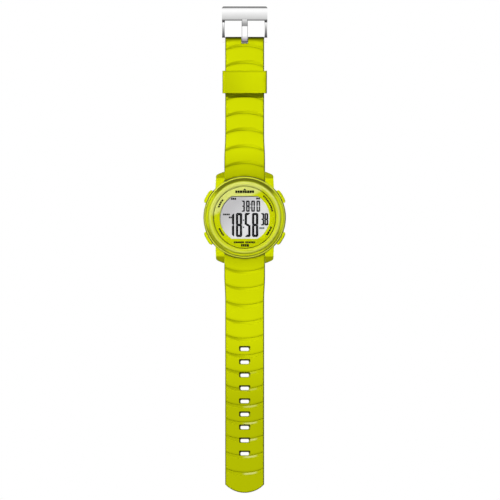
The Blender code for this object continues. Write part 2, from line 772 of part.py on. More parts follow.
def stem_tool(name, axis):
    """A button's stem, with a groove for the O-ring and one for the clip."""
    ring_low = RING_CENTRE - 0.3 * MM
    ring_high = RING_CENTRE + 0.3 * MM
    clip_low = CLIP_FACES[0] - 0.05 * MM
    clip_high = CLIP_FACES[1] + 0.05 * MM
    profile = [
        (0, CAP_INNER + 0.8 * MM),
        (STEM_RADIUS, CAP_INNER + 0.8 * MM),
        (STEM_RADIUS, ring_high),
        (STEM_NECK, ring_high),
        (STEM_NECK, ring_low),
        (STEM_RADIUS, ring_low),
        (STEM_RADIUS, clip_high),
        (STEM_NECK, clip_high),
        (STEM_NECK, clip_low),
        (STEM_RADIUS, clip_low),
        (STEM_RADIUS, STEM_END + 0.2 * MM),
        (STEM_RADIUS - 0.2 * MM, STEM_END),
        (0, STEM_END),
    ]
    stem = turned("stem_" + name, profile, TINY_STEPS, ALONG_X)
    stem.parent = axis
    return stem


# ---------------------------------------------------------------- strap


def make_spring_bar(name, side):
    """A spring bar: a tube, a spring inside it and a sprung tip at each end."""
    place = Matrix.Translation((0, side * BAR_Y, BAR_Z))
    body = ring("spring_bar_tube_" + name, BAR_TUBE_BORE, BAR_TUBE_RADIUS, -BAR_TUBE_HALF,
                BAR_TUBE_HALF, TINY_STEPS, place @ ALONG_X)
    part(body, "steel")
    reach = TIP_INNER_END - 0.3 * MM
    coil = helix(0.4 * MM, -reach, reach, 7, 6)
    part(tube("spring_bar_coil_" + name, [coil], 0.1 * MM, 0, place @ ALONG_X), "spring_wire")
    profile = [
        (0, TIP_END),
        (TIP_RADIUS - 0.15 * MM, TIP_END),
        (TIP_RADIUS, TIP_END - 0.15 * MM),
        (TIP_RADIUS, TIP_COLLAR_END),
        (TIP_COLLAR_RADIUS, TIP_COLLAR_END),
        (TIP_COLLAR_RADIUS, TIP_INNER_END),
        (0, TIP_INNER_END),
    ]
    for end, flip in (("right", 0), ("left", math.pi)):
        facing = Matrix.Rotation(flip, 4, "Z")
        tip = turned(f"spring_bar_tip_{name}_{end}", profile, 12, place @ facing @ ALONG_X)
        part(tip, "steel")


def strap_underside(distance, level, level_from):
    """Height of a strap's lower face: it comes down from the lugs and lies level."""
    start = BAR_Z - KNUCKLE_RADIUS
    return start + (level - start) * ease(distance, STRAP_SHOULDER, level_from)


def strap_top(distance, level, level_from):
    """Height of a strap's upper face, which is further from the lower one near the case."""
    extra = 2 * KNUCKLE_RADIUS - STRAP_THICKNESS
    thickness = STRAP_THICKNESS + extra * (1 - ease(distance, STRAP_SHOULDER, TAPER_END))
    return strap_underside(distance, level, level_from) + thickness


def strap_half_width(distance):
    """Half the strap's width, which narrows a little past the case."""
    wide = STRAP_HALF_WIDTH - STRAP_NARROW_HALF
    return STRAP_HALF_WIDTH - wide * ease(distance, TAPER_START, TAPER_END)


def strap_blank(name, end_plan, end, level, level_from, turn):
    """A strap half without grooves: its side outline, as wide as its plan."""
    bend = [STRAP_SHOULDER + (level_from - STRAP_SHOULDER) * i / 10 for i in range(11)]
    lip = 0.8 * MM
    lower = [(s, strap_underside(s, level, level_from)) for s in bend]
    upper = [(s, strap_top(s, level, level_from)) for s in reversed(bend)]
    finish_top = level + STRAP_THICKNESS
    end_face = [(end - lip, level), (end, level + lip),
                (end, finish_top - lip), (end - lip, finish_top)]
    knuckle = arc((BAR_Y, BAR_Z), KNUCKLE_RADIUS, 90, 270, 12)
    blank = prism(name, [knuckle + lower + end_face + upper], -12 * MM, 12 * MM, turn @ SIDE_ON)
    taper = [TAPER_START + (TAPER_END - TAPER_START) * i / 4 for i in range(5)]
    right = [(strap_half_width(s), s) for s in [17 * MM] + taper]
    left = [(-x, s) for x, s in reversed(right)]
    plan = prism(name + "_plan", [right + end_plan + left], -5 * MM, 15 * MM, turn)
    return boolean(blank, plan, "INTERSECT")


def groove_tool(name, count, level, level_from, turn):
    """The curved grooves across a strap's upper face."""
    paths = []
    for number in range(count):
        crown = FIRST_GROOVE + GROOVE_PITCH * number
        path = []
        for i in range(9):
            x = (i - 4) * 3 * MM
            s = crown - GROOVE_ARC_RADIUS + math.sqrt(GROOVE_ARC_RADIUS ** 2 - x * x)
            path.append((x, s, strap_top(s, level, level_from) + GROOVE_TOOL_LIFT))
        paths.append(path)
    return tube(name + "_grooves", paths, GROOVE_TOOL_RADIUS, 1, turn)


def knuckle_bore(name, turn):
    """The hole along a strap's knuckle for the spring bar."""
    place = turn @ Matrix.Translation((0, BAR_Y, BAR_Z)) @ ALONG_X
    return cylinder(name + "_bore", KNUCKLE_BORE, -12 * MM, 12 * MM, SMALL_STEPS, place)


def make_buckle_half():
    """The shorter strap half, which carries the keeper and the buckle."""
    name = "strap_buckle_half"
    square = [(STRAP_NARROW_HALF, STRAP_END + 1 * MM), (-STRAP_NARROW_HALF, STRAP_END + 1 * MM)]
    strap = strap_blank(name, square, STRAP_END, HALF_UNDERSIDE, HALF_LEVEL_FROM, Matrix())
    notch = rectangle((-NOTCH_HALF, NOTCH_START), (NOTCH_HALF, STRAP_END + 2 * MM))
    place = Matrix.Translation((0, PIN_Y, PIN_Z)) @ ALONG_X
    cut(
        strap,
        groove_tool(name, HALF_GROOVES, HALF_UNDERSIDE, HALF_LEVEL_FROM, Matrix()),
        knuckle_bore(name, Matrix()),
        prism("tongue_notch", [notch], -1 * MM, 8 * MM),
        cylinder("pin_bore", PIN_BORE, -12 * MM, 12 * MM, SMALL_STEPS, place),
    )
    part(with_origin(strap, (0, BAR_Y, BAR_Z)), "resin")


def make_tail_half():
    """The longer strap half, with slots for the tongue and a curved end."""
    name = "strap_tail_half"
    turn = Matrix.Rotation(math.pi, 4, "Z")
    rise = TAIL_TIP - TAIL_STRAIGHT_END
    radius = (STRAP_NARROW_HALF ** 2 + rise ** 2) / (2 * rise)
    edge = math.degrees(math.asin(STRAP_NARROW_HALF / radius))
    tip = arc((0, TAIL_TIP - radius), radius, 90 - edge, 90 + edge, 14)
    strap = strap_blank(name, tip, TAIL_TIP + 1 * MM, 0, TAIL_LEVEL_FROM, turn)
    slots = [
        rounded_rectangle((0, FIRST_SLOT + SLOT_PITCH * k), SLOT_HALF_WIDTH, SLOT_HALF_HEIGHT,
                          SLOT_CORNER, 2)
        for k in range(SLOTS)
    ]
    cut(
        strap,
        groove_tool(name, TAIL_GROOVES, 0, TAIL_LEVEL_FROM, turn),
        knuckle_bore(name, turn),
        prism("slots", slots, -1 * MM, 6 * MM, turn),
    )
    part(with_origin(strap, (0, -BAR_Y, BAR_Z)), "resin")


def make_keeper():
    """The loop that holds the strap's tail."""
    middle = (0, KEEPER_HEIGHT / 2)
    outer = rounded_rectangle(middle, KEEPER_HALF_WIDTH, KEEPER_HEIGHT / 2, 1.6 * MM)
    inner = rounded_rectangle(middle, KEEPER_HALF_WIDTH - KEEPER_WALL,
                              KEEPER_HEIGHT / 2 - KEEPER_WALL, 0.5 * MM, 2)
    place = Matrix.Translation((0, KEEPER_Y, 0)) @ UPRIGHT
    loop = prism("keeper_loop", [outer, inner], -KEEPER_HALF_LENGTH, KEEPER_HALF_LENGTH, place)
    part(loop, "resin")


# ---------------------------------------------------------------- buckle


def make_buckle():
    """The buckle frame: two legs on the pin and a curved bar, cut from one side outline."""
    side = [
        (BUCKLE_START, 1.7 * MM),
        (BUCKLE_START, 3.5 * MM),
        (91.3 * MM, 3.85 * MM),
        (BUCKLE_GAP_END, 3.8 * MM),
        (104.2 * MM, 3.95 * MM),
        (106.0 * MM, 3.75 * MM),
        (107.6 * MM, 3.1 * MM),
        (108.9 * MM, 2.0 * MM),
        (BUCKLE_END, 0.7 * MM),
        (109.5 * MM, 0.2 * MM),
        (108.9 * MM, 0.1 * MM),
        (107.8 * MM, 1.2 * MM),
        (106.2 * MM, 2.0 * MM),
        (104.2 * MM, 2.3 * MM),
        (BUCKLE_GAP_END, 1.8 * MM),
        (99.0 * MM, 1.5 * MM),
        (91.3 * MM, 1.4 * MM),
    ]
    corner = (BUCKLE_HALF_WIDTH - BUCKLE_CORNER, BUCKLE_END - BUCKLE_CORNER)
    right = [(BUCKLE_HALF_WIDTH, 80 * MM)] + arc(corner, BUCKLE_CORNER, 0, 90, 4)
    plan = right + [(-x, y) for x, y in reversed(right)]
    frame = prism("buckle_frame", [side], -12 * MM, 12 * MM, SIDE_ON)
    boolean(frame, prism("buckle_plan", [plan], -1 * MM, 6 * MM), "INTERSECT")
    gap = rectangle((-BUCKLE_INNER_HALF, 80 * MM), (BUCKLE_INNER_HALF, BUCKLE_GAP_END))
    place = Matrix.Translation((0, PIN_Y, PIN_Z)) @ ALONG_X
    cut(
        frame,
        prism("buckle_gap", [gap], -1 * MM, 6 * MM),
        cylinder("pin_holes", PIN_BORE, -PIN_HOLE_HALF, PIN_HOLE_HALF, SMALL_STEPS, place),
    )
    part(with_origin(frame, (0, PIN_Y, PIN_Z)), "steel")
    pin = cylinder("buckle_pin", PIN_RADIUS, -PIN_HALF, PIN_HALF, SMALL_STEPS, place)
    part(pin, "steel")


def make_tongue():
    """The tongue: a hub on the pin and a tapering bar that rests on the buckle's bar."""
    top = [(93.7 * MM, 4.05 * MM), (95.6 * MM, 4.55 * MM), (97.6 * MM, 4.85 * MM),
           (99.4 * MM, 4.95 * MM), (101.4 * MM, 4.75 * MM), (102.7 * MM, 4.4 * MM)]
    underside = [(102.9 * MM, 4.15 * MM), (101.6 * MM, 4.05 * MM), (98.6 * MM, 3.6 * MM),
                 (94.2 * MM, 2.5 * MM)]
    hub = arc((PIN_Y, PIN_Z), TONGUE_HUB_RADIUS, -30, -270, 14)
    tongue = prism("buckle_tongue", [hub + top + underside], -TONGUE_HALF_WIDTH,
                   TONGUE_HALF_WIDTH, SIDE_ON)
    place = Matrix.Translation((0, PIN_Y, PIN_Z)) @ ALONG_X
    cut(tongue, cylinder("tongue_bore", PIN_BORE, -3 * MM, 3 * MM, SMALL_STEPS, place))
    part(with_origin(tongue, (0, PIN_Y, PIN_Z)), "steel")


make_case()
make_bezel()
make_lens()
make_caseback()
make_display()
make_module()
make_power()
make_buzzer()
for button_name, button_angle in BUTTON_ANGLES.items():
    make_button(button_name, button_angle)
make_spring_bar("upper", 1)
make_spring_bar("lower", -1)
make_buckle_half()
make_tail_half()
make_keeper()
make_buckle()
make_tongue()
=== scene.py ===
"""Looks of the digital sports wristwatch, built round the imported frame.

Shapes are given in millimetres and scaled by the mesh tools. The frame itself is in metres.
"""

import json
import math

import bmesh
import bpy
from mathutils import Matrix, Vector


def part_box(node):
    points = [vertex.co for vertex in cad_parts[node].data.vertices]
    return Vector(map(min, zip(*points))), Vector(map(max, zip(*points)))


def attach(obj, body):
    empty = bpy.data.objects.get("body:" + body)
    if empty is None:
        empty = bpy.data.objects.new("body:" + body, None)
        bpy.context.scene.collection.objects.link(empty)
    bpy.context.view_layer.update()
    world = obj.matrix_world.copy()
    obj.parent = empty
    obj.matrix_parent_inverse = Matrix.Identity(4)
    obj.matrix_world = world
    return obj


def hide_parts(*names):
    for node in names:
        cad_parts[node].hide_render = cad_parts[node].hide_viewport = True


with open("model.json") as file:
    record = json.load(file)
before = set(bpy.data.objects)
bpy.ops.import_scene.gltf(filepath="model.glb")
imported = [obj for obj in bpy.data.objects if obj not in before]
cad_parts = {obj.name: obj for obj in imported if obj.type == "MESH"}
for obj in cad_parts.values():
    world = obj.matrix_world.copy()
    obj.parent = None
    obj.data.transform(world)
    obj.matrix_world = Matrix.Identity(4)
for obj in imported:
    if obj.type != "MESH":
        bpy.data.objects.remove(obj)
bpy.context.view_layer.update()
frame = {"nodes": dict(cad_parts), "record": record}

MM = 0.001
X_AXIS = Vector((1, 0, 0))
ALONG_X = Matrix.Rotation(math.pi / 2, 4, "Y")
SIDE_ON = Matrix(((0, 0, 1), (1, 0, 0), (0, 1, 0))).to_4x4()
UPRIGHT = Matrix.Rotation(math.pi / 2, 4, "X")
HALF_TURN = Matrix.Rotation(math.pi, 4, "Z")


def in_mm(corners):
    """A node's lowest and highest corners, turned from metres into millimetres."""
    return [Vector(corner) / MM for corner in corners]


# Places read from the frame.
CASE_LOW, CASE_HIGH = in_mm(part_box("case_body"))
BEZEL_LOW, BEZEL_HIGH = in_mm(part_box("bezel_ring"))
LENS_LOW, LENS_HIGH = in_mm(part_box("lens"))
DIAL_LOW, DIAL_HIGH = in_mm(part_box("dial_plate"))
LCD_LOW, LCD_HIGH = in_mm(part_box("lcd_panel"))
BACK_HIGH = in_mm(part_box("caseback"))[1]
HALF_HIGH = in_mm(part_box("strap_buckle_half"))[1]
TAIL_LOW = in_mm(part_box("strap_tail_half"))[0]
KEEPER_LOW, KEEPER_HIGH = in_mm(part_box("keeper_loop"))
FRAME_HIGH = in_mm(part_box("buckle_frame"))[1]
TONGUE_LOW, TONGUE_HIGH = in_mm(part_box("buckle_tongue"))
PIN_LOW, PIN_HIGH = in_mm(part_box("buckle_pin"))
TUBE_LOW, TUBE_HIGH = in_mm(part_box("spring_bar_tube_upper"))

CASE_RADIUS = CASE_HIGH.x
BEZEL_RADIUS = BEZEL_HIGH.x
LENS_RADIUS = LENS_HIGH.x
DIAL_RADIUS = DIAL_HIGH.x
BACK_RADIUS = BACK_HIGH.x
BAR_Y = (TUBE_LOW.y + TUBE_HIGH.y) / 2
BAR_Z = (TUBE_LOW.z + TUBE_HIGH.z) / 2
PIN_Y = (PIN_LOW.y + PIN_HIGH.y) / 2
PIN_Z = (PIN_LOW.z + PIN_HIGH.z) / 2
PIN_RADIUS = (PIN_HIGH.z - PIN_LOW.z) / 2

# The case: its rim, the recesses for the strap, the buttons, the bezel, its seal and the window.
RIM_INNER = CASE_RADIUS - 1.25
RECESS = 10.65
RECESS_FROM = 18
POCKET_TOP = 7.6
BUTTON_MIDDLE = 5.6
BUTTON_INNER = 20.98
BUTTON_OUTER = 22.9
BUTTON_HALF_WIDTH = 3.7
BEZEL_CROWN = 17.55
SEAL_INNER = LENS_RADIUS + 0.04
SEAL_OUTER = LENS_RADIUS + 0.22
BEZEL_INNER = LENS_RADIUS + 0.25
WINDOW_RADIUS = 12.9
WINDOW_HALF_HEIGHT = 11.05

# The strap's shape, by distance from the case's centre.
STRAP_WIDE = HALF_HIGH.x
STRAP_NARROW = 10.1
TAPER = (30, 43)
KNUCKLE = 2.4
SHOULDER = 22.6
THICKNESS = 2.7
HALF_LEVEL = 1.35
HALF_LEVEL_FROM = 45.5
TAIL_LEVEL_FROM = 52
STRAP_END = HALF_HIGH.y
TAIL_TIP = -TAIL_LOW.y
TAIL_STRAIGHT = 138.7
STRAP_EDGE = 0.75
FIRST_GROOVE = 27.9
GROOVE_PITCH = 8.7
GROOVE_ARC = 25
HALF_GROOVES = 8
TAIL_GROOVES = 13
FIRST_SLOT = 68.1
SLOT_PITCH = 6.79
SLOTS = 9
NOTCH_HALF_WIDTH = 1.66

# A groove's scoop: its width and its depth at the strap's middle, and what they lose at its edge.
SCOOP = (1.7, 0.75)
SCOOP_DEPTH = (0.50, 0.14)
CREASE_DEPTH = 0.16

# Half the width of a crease, and where a groove's rows lie beyond its crown.
CREASE = 0.12
GROOVE_ROWS = (-0.13, -0.06, 0.0, 0.06, 0.13, 0.3, 0.55, 0.8, 1.05, 1.3, 1.5, 1.7, 1.8)

BUTTON_ANGLES = {"upper_right": 30, "upper_left": 150, "lower_left": 210, "lower_right": 330}
SIDES = {"left": -1, "right": 1}

# How far the buckle's legs stand from its middle.
LEG_X = 10.98

# How far printed marks stand off their surface, and how thick they are.
INK_GAP = 0.005
INK_THICKNESS = 0.03

# Soft studio light: how bright the sky is, and how wide a key light looks, in degrees.
SKY_LIGHT = 0.22
SUN_ANGLE = 4

# The camera: its lens, the width of what it sees, and the point that it looks straight down at.
LENS_LENGTH = 500
SENSOR_WIDTH = 36
FIELD = 259.58
AIM = (2.76, -16.89, 4)


# ---------------------------------------------------------------- mesh tools


def at(x, y, z):
    """A move, given in millimetres."""
    return Matrix.Translation((x * MM, y * MM, z * MM))


def linked(name, data, placed=None):
    """A new object in the scene."""
    obj = bpy.data.objects.new(name, data)
    bpy.context.scene.collection.objects.link(obj)
    if placed is not None:
        obj.matrix_world = placed
    return obj


def baked(source):
    """An object's evaluated shape as a plain mesh in the frame's axes."""
    name = source.name
    source.name = name + "_source"
    bpy.context.view_layer.update()
    graph = bpy.context.evaluated_depsgraph_get()
    mesh = bpy.data.meshes.new_from_object(source.evaluated_get(graph), depsgraph=graph)
    mesh.transform(source.matrix_world)
    solid = bmesh.new()
    solid.from_mesh(mesh)
    bmesh.ops.remove_doubles(solid, verts=solid.verts, dist=0.001 * MM)
    bmesh.ops.recalc_face_normals(solid, faces=solid.faces)
    solid.to_mesh(mesh)
    solid.free()
    bpy.data.objects.remove(source, do_unlink=True)
    return linked(name, mesh)


def prism(name, outlines, low, high, placed=None):
    """Flat outlines made into a solid between two heights; an outline inside another is a hole."""
    curve = bpy.data.curves.new(name, "CURVE")
    curve.dimensions = "2D"
    curve.fill_mode = "BOTH"
    curve.extrude = (high - low) / 2 * MM
    for outline in outlines:
        spline = curve.splines.new("POLY")
        spline.points.add(len(outline) - 1)
        for point, (x, y) in zip(spline.points, outline):
            point.co = (x * MM, y * MM, 0.0, 1.0)
        spline.use_cyclic_u = True
    lift = at(0, 0, (low + high) / 2)
    return baked(linked(name, curve, (placed or Matrix()) @ lift))


def turned(name, profile, steps=192, placed=None, closed=False):
    """A solid of revolution about Z, from radii and heights that run down the outside."""
    mesh = bpy.data.meshes.new(name)
    edges = [(i, i + 1) for i in range(len(profile) - 1)]
    if closed:
        edges.append((len(profile) - 1, 0))
    mesh.from_pydata([(radius * MM, 0.0, z * MM) for radius, z in profile], edges, [])
    obj = linked(name, mesh, placed)
    screw = obj.modifiers.new("turn", "SCREW")
    screw.steps = steps
    screw.render_steps = steps
    screw.use_merge_vertices = True
    screw.merge_threshold = 0.001 * MM
    return baked(obj)


def lofted(name, rings, placed=None):
    """A closed skin through rings of the same even number of points, its ends closed in strips
    from one half of the ring to the other."""
    mesh = bpy.data.meshes.new(name)
    count = len(rings[0])
    faces = []
    for row in range(len(rings) - 1):
        near = row * count
        far = near + count
        for i in range(count):
            j = (i + 1) % count
            faces.append((near + i, near + j, far + j, far + i))
    for start in (0, (len(rings) - 1) * count):
        for i in range(count // 2 - 1):
            faces.append((start + i, start + i + 1, start + count - 2 - i, start + count - 1 - i))
    points = [(x * MM, y * MM, z * MM) for ring in rings for x, y, z in ring]
    mesh.from_pydata(points, [], faces)
    return baked(linked(name, mesh, placed))


def swept(name, path, radius_at, sides=20):
    """A round bar along a path, whose radii across and up are given at each share of it."""
    rings = []
    for i, point in enumerate(path):
        ahead = path[min(i + 1, len(path) - 1)]
        behind = path[max(i - 1, 0)]
        along = (Vector(ahead) - Vector(behind)).normalized()
        across = X_AXIS if abs(along.x) < 0.7 else Vector((0, 1, 0))
        across = (across - along * across.dot(along)).normalized()
        up = along.cross(across)
        wide, high = radius_at(i / (len(path) - 1))
        ring = []
        for k in range(sides):
            angle = 2 * math.pi * k / sides
            ring.append(Vector(point) + across * wide * math.cos(angle)
                        + up * high * math.sin(angle))
        rings.append(ring)
    return lofted(name, rings)


def boolean(obj, tool, operation="DIFFERENCE"):
    """Cut, join or intersect an object with a tool, and remove the tool."""
    modifier = obj.modifiers.new("cut", "BOOLEAN")
    modifier.operation = operation
    modifier.object = tool
    done = baked(obj)
    bpy.data.objects.remove(tool, do_unlink=True)
    return done


def bore(y, z, radius, inner, outer, sides=32, turn=Matrix()):
    """A round tool along X, between two places on it."""
    profile = [(0, outer), (radius, outer), (radius, inner), (0, inner)]
    return turned("bore", profile, sides, turn @ at(0, y, z) @ ALONG_X)


def bevelled(obj, width, segments=3, angle=40):
    """Rounded edges wherever two faces meet at more than an angle."""
    bevel = obj.modifiers.new("edges", "BEVEL")
    bevel.width = width * MM
    bevel.segments = segments
    bevel.limit_method = "ANGLE"
    bevel.angle_limit = math.radians(angle)
    return baked(obj)


def shaded(obj, angle=32):
    """Smooth shading, with edges kept sharp past an angle."""
    obj.data.shade_smooth()
    obj.data.set_sharp_from_angle(angle=math.radians(angle))
    return obj


def tone(obj, painted_shade_and_dark_tone_at, painted_highlight_at=None):
    """Store at each point, given in millimetres, the painted shade (on the seal also its own dark
    tone) and the painted highlight of its colour.
    """
    for name, value_at in (("painted_shade_and_dark_tone", painted_shade_and_dark_tone_at), ("pale", painted_highlight_at)):
        if value_at is not None:
            layer = obj.data.attributes.new(name, "FLOAT", "POINT")
            layer.data.foreach_set("value", [value_at(v.co / MM) for v in obj.data.vertices])


def piece(obj, body, look, replaced=()):
    """Finish a visible piece: its look, its body and the nodes that it stands for."""
    obj.data.materials.clear()
    obj.data.materials.append(look)
    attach(obj, body)
    if replaced:
        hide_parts(*replaced)
    return obj


# ---------------------------------------------------------------- outlines


def arc(centre, radius, start, end, steps):
    """Points along an arc, from one angle in degrees to another."""
    angles = [math.radians(start + (end - start) * i / steps) for i in range(steps + 1)]
    return [(centre[0] + radius * math.cos(a), centre[1] + radius * math.sin(a)) for a in angles]


def ellipse_arc(centre, wide, high, start, end, steps):
    """Points along part of an ellipse."""
    angles = [math.radians(start + (end - start) * i / steps) for i in range(steps + 1)]
    return [(centre[0] + wide * math.cos(a), centre[1] + high * math.sin(a)) for a in angles]


def circle(centre, radius, steps=96):
    """A circle's outline."""
    return arc(centre, radius, 0, 360 - 360 / steps, steps - 1)


def rectangle(low, high):
    """A rectangle's outline between two corners."""
    return [(low[0], low[1]), (high[0], low[1]), (high[0], high[1]), (low[0], high[1])]


def rounded_rectangle(centre, half_width, half_height, corner, steps=6):
    """A rectangle's outline with round corners."""
    points = []
    for turn, (sx, sy) in enumerate([(1, 1), (-1, 1), (-1, -1), (1, -1)]):
        middle = (centre[0] + sx * (half_width - corner), centre[1] + sy * (half_height - corner))
        points += arc(middle, corner, 90 * turn, 90 * turn + 90, steps)
    return points


def clipped_circle(radius, half_height, steps=96):
    """A circle's outline cut flat at the top and the bottom."""
    corner = math.degrees(math.asin(half_height / radius))
    right = arc((0, 0), radius, -corner, corner, steps // 2)
    left = arc((0, 0), radius, 180 - corner, 180 + corner, steps // 2)
    return right + left


def placed_outline(outline, centre, turn):
    """An outline turned by an angle in radians and moved to a centre."""
    c = math.cos(turn)
    s = math.sin(turn)
    return [(centre[0] + x * c - y * s, centre[1] + x * s + y * c) for x, y in outline]


def ease(value, start, end):
    """0 before start, 1 after end, and a smooth step between them."""
    share = min(1.0, max(0.0, (value - start) / (end - start)))
    return share * share * (3 - 2 * share)


# ---------------------------------------------------------------- materials


def grey(value):
    """A neutral colour."""
    return (value, value, value)


class Nodes:
    """A node tree, with short calls to add to it."""

    def __init__(self, tree):
        self.tree = tree

    def add(self, kind, inputs=(), **settings):
        """A node with its settings, and with its sockets linked to outputs or set to values."""
        node = self.tree.nodes.new("ShaderNode" + kind)
        for key, value in settings.items():
            setattr(node, key, value)
        for name, value in inputs:
            socket = node.inputs[name]
            if isinstance(value, bpy.types.NodeSocket):
                self.tree.links.new(value, socket)
            elif socket.type == "RGBA":
                socket.default_value = (*value, 1.0)
            else:
                socket.default_value = value
        return node

    def ramp(self, value, stops):
        """A colour ramp through (position, colour) stops."""
        node = self.add("ValToRGB", [("Fac", value)])
        ramp = node.color_ramp
        while len(ramp.elements) < len(stops):
            ramp.elements.new(0.5)
        for element, (position, colour) in zip(ramp.elements, stops):
            element.position = position
            element.color = (*colour, 1.0)
        return node.outputs["Color"]

    def remap(self, value, low, high, to_low, to_high, smooth=False):
        """A value's range turned into another."""
        inputs = [("Value", value), ("From Min", low), ("From Max", high), ("To Min", to_low),
                  ("To Max", to_high)]
        kind = "SMOOTHSTEP" if smooth else "LINEAR"
        return self.add("MapRange", inputs, interpolation_type=kind).outputs["Result"]

    def maths(self, operation, first, second=0.0):
        """Arithmetic on two outputs or numbers."""
        return self.add("Math", [(0, first), (1, second)], operation=operation).outputs["Value"]

    def shade(self, colour, amount):
        """A colour multiplied by a grey amount, which may be an output."""
        inputs = [("Factor", 1.0), (6, colour), (7, amount)]
        return self.add("Mix", inputs, data_type="RGBA", blend_type="MULTIPLY").outputs[2]

    def mix(self, factor, first, second):
        """Two colours mixed, from the first at 0 to the second at 1."""
        inputs = [("Factor", factor), (6, first), (7, second)]
        return self.add("Mix", inputs, data_type="RGBA").outputs[2]


class Look(Nodes):
    """A material, whose nodes work in the object's coordinates."""

    def __init__(self, name):
        self.material = bpy.data.materials.new(name)
        self.material.use_nodes = True
        super().__init__(self.material.node_tree)
        self.shader = self.tree.nodes["Principled BSDF"]
        self.place = self.add("TexCoord").outputs["Object"]

    def set(self, **values):
        """Fixed values of the shader's sockets, with _ for a space."""
        for key, value in values.items():
            self.shader.inputs[key.replace("_", " ")].default_value = value

    def link(self, output, socket):
        """Join an output to a socket of the shader."""
        self.tree.links.new(output, self.shader.inputs[socket])

    def noise(self, scale, detail=3.0, stretch=None):
        """Noise from 0 to 1 at a number of cells a metre, drawn out along the axes by stretch."""
        place = self.place
        if stretch is not None:
            mapping = self.add("Mapping", [("Scale", stretch), ("Vector", place)])
            place = mapping.outputs["Vector"]
        inputs = [("Scale", scale), ("Detail", detail), ("Vector", place)]
        return self.add("TexNoise", inputs).outputs["Fac"]

    def mottle(self, noise, low):
        """Patches of noise, from a grey up to white."""
        return self.ramp(noise, [(0.3, grey(low)), (0.7, grey(1.0))])

    def axis(self, name):
        """One of the object's coordinates, in metres."""
        return self.add("SeparateXYZ", [("Vector", self.place)]).outputs[name]

    def bump(self, height, distance, strength=1.0):
        """A bump of a real height in metres."""
        inputs = [("Distance", distance), ("Strength", strength), ("Height", height)]
        self.link(self.add("Bump", inputs).outputs["Normal"], "Normal")


LIME = (0.665, 0.735, 0.0012)
LIME_TINT = (0.92, 1.0, 0.08)
# The pale colour that painted highlights and painted reflections mix towards.
PAINTED_HIGHLIGHT = (0.88, 0.90, 0.40)


def painted(nodes, colour):
    """A colour darkened by the stored painted shade and dark tone, and paled by the stored painted
    highlight.
    """
    painted_shade_and_dark_tone, pale = [nodes.add("Attribute", attribute_name=name).outputs["Fac"]
                    for name in ("painted_shade_and_dark_tone", "pale")]
    return nodes.mix(pale, nodes.shade(colour, nodes.maths("SUBTRACT", 1.0, painted_shade_and_dark_tone)), PAINTED_HIGHLIGHT)


def resin(name, roughness, specular, painted_shade_of=None, coat=0.0):
    """Moulded lime resin: a fine moulded grain, faint flow marks and slightly uneven gloss, with
    an optional painted shade and the painted shade and highlight stored on the mesh.
    """
    nodes = Look(name)
    nodes.set(Specular_IOR_Level=specular, Specular_Tint=(*LIME_TINT, 1.0),
              Coat_Weight=coat, Coat_Roughness=0.12)
    flow = nodes.mottle(nodes.noise(90, 4, (1, 0.35, 1)), 0.97)
    colour = nodes.shade(LIME, flow)
    if painted_shade_of is not None:
        colour = nodes.shade(colour, painted_shade_of(nodes))
    nodes.link(painted(nodes, colour), "Base Color")
    uneven = nodes.noise(420, 3)
    nodes.link(nodes.remap(uneven, 0.3, 0.7, roughness - 0.04, roughness + 0.05), "Roughness")
    nodes.bump(nodes.noise(5200, 2), 0.006 * MM, 0.6)
    return nodes.material


def half_painted_shade(nodes):
    """Painted shade: the buckle half is a little darker towards the case."""
    return nodes.remap(nodes.axis("Y"), 21 * MM, 38 * MM, 0.68, 1.0)


def tail_painted_shade(nodes):
    """Painted shade: the tail half is a little darker towards the case and towards its end."""
    near = nodes.remap(nodes.axis("Y"), -20 * MM, -29 * MM, 0.74, 1.0)
    far = nodes.remap(nodes.axis("Y"), -60 * MM, -96 * MM, 1.0, 0.70)
    return nodes.maths("MULTIPLY", near, far)


def keeper_painted_shade(nodes):
    """Painted shade: the keeper is a little darker at its left and along its far edge."""
    across = nodes.remap(nodes.axis("X"), -11 * MM, 5 * MM, 0.82, 1.0, True)
    edge = nodes.remap(nodes.axis("Y"), (KEEPER_HIGH.y - 1.1) * MM, (KEEPER_HIGH.y - 0.5) * MM,
                       1.0, 0.74)
    return nodes.maths("MULTIPLY", across, edge)


def lug_painted_shade(nodes):
    """Painted shade: the lugs are a little darker where they slope down."""
    away = nodes.maths("ABSOLUTE", nodes.axis("Y"))
    return nodes.remap(away, 20.0 * MM, 20.6 * MM, 1.0, 0.56, True)


def dial_print_material():
    """The dial's printed lime, with a painted reflection that pales its upper left."""
    nodes = Look("dial_lime")
    nodes.set(Roughness=0.35, Specular_IOR_Level=0.2, Specular_Tint=(*LIME_TINT, 1.0))
    speckle = nodes.mottle(nodes.noise(2600, 2), 0.97)
    across = nodes.maths("MULTIPLY", nodes.axis("X"), -0.453)
    along = nodes.maths("MULTIPLY", nodes.axis("Y"), 0.891)
    slant = nodes.maths("ADD", across, along)
    painted_reflection = nodes.remap(slant, 7.4 * MM, 9.4 * MM, 0.0, 0.52, True)
    nodes.link(nodes.mix(painted_reflection, nodes.shade(LIME, speckle), PAINTED_HIGHLIGHT), "Base Color")
    nodes.bump(nodes.noise(1800, 2), 0.002 * MM, 0.4)
    return nodes.material


def ink(name, colour):
    """Screen-printed ink, with a faint mottle."""
    nodes = Look(name)
    nodes.set(Roughness=0.5, Specular_IOR_Level=0.1)
    mottle = nodes.mottle(nodes.noise(3000, 2), 0.8)
    nodes.link(nodes.shade(colour, mottle), "Base Color")
    return nodes.material


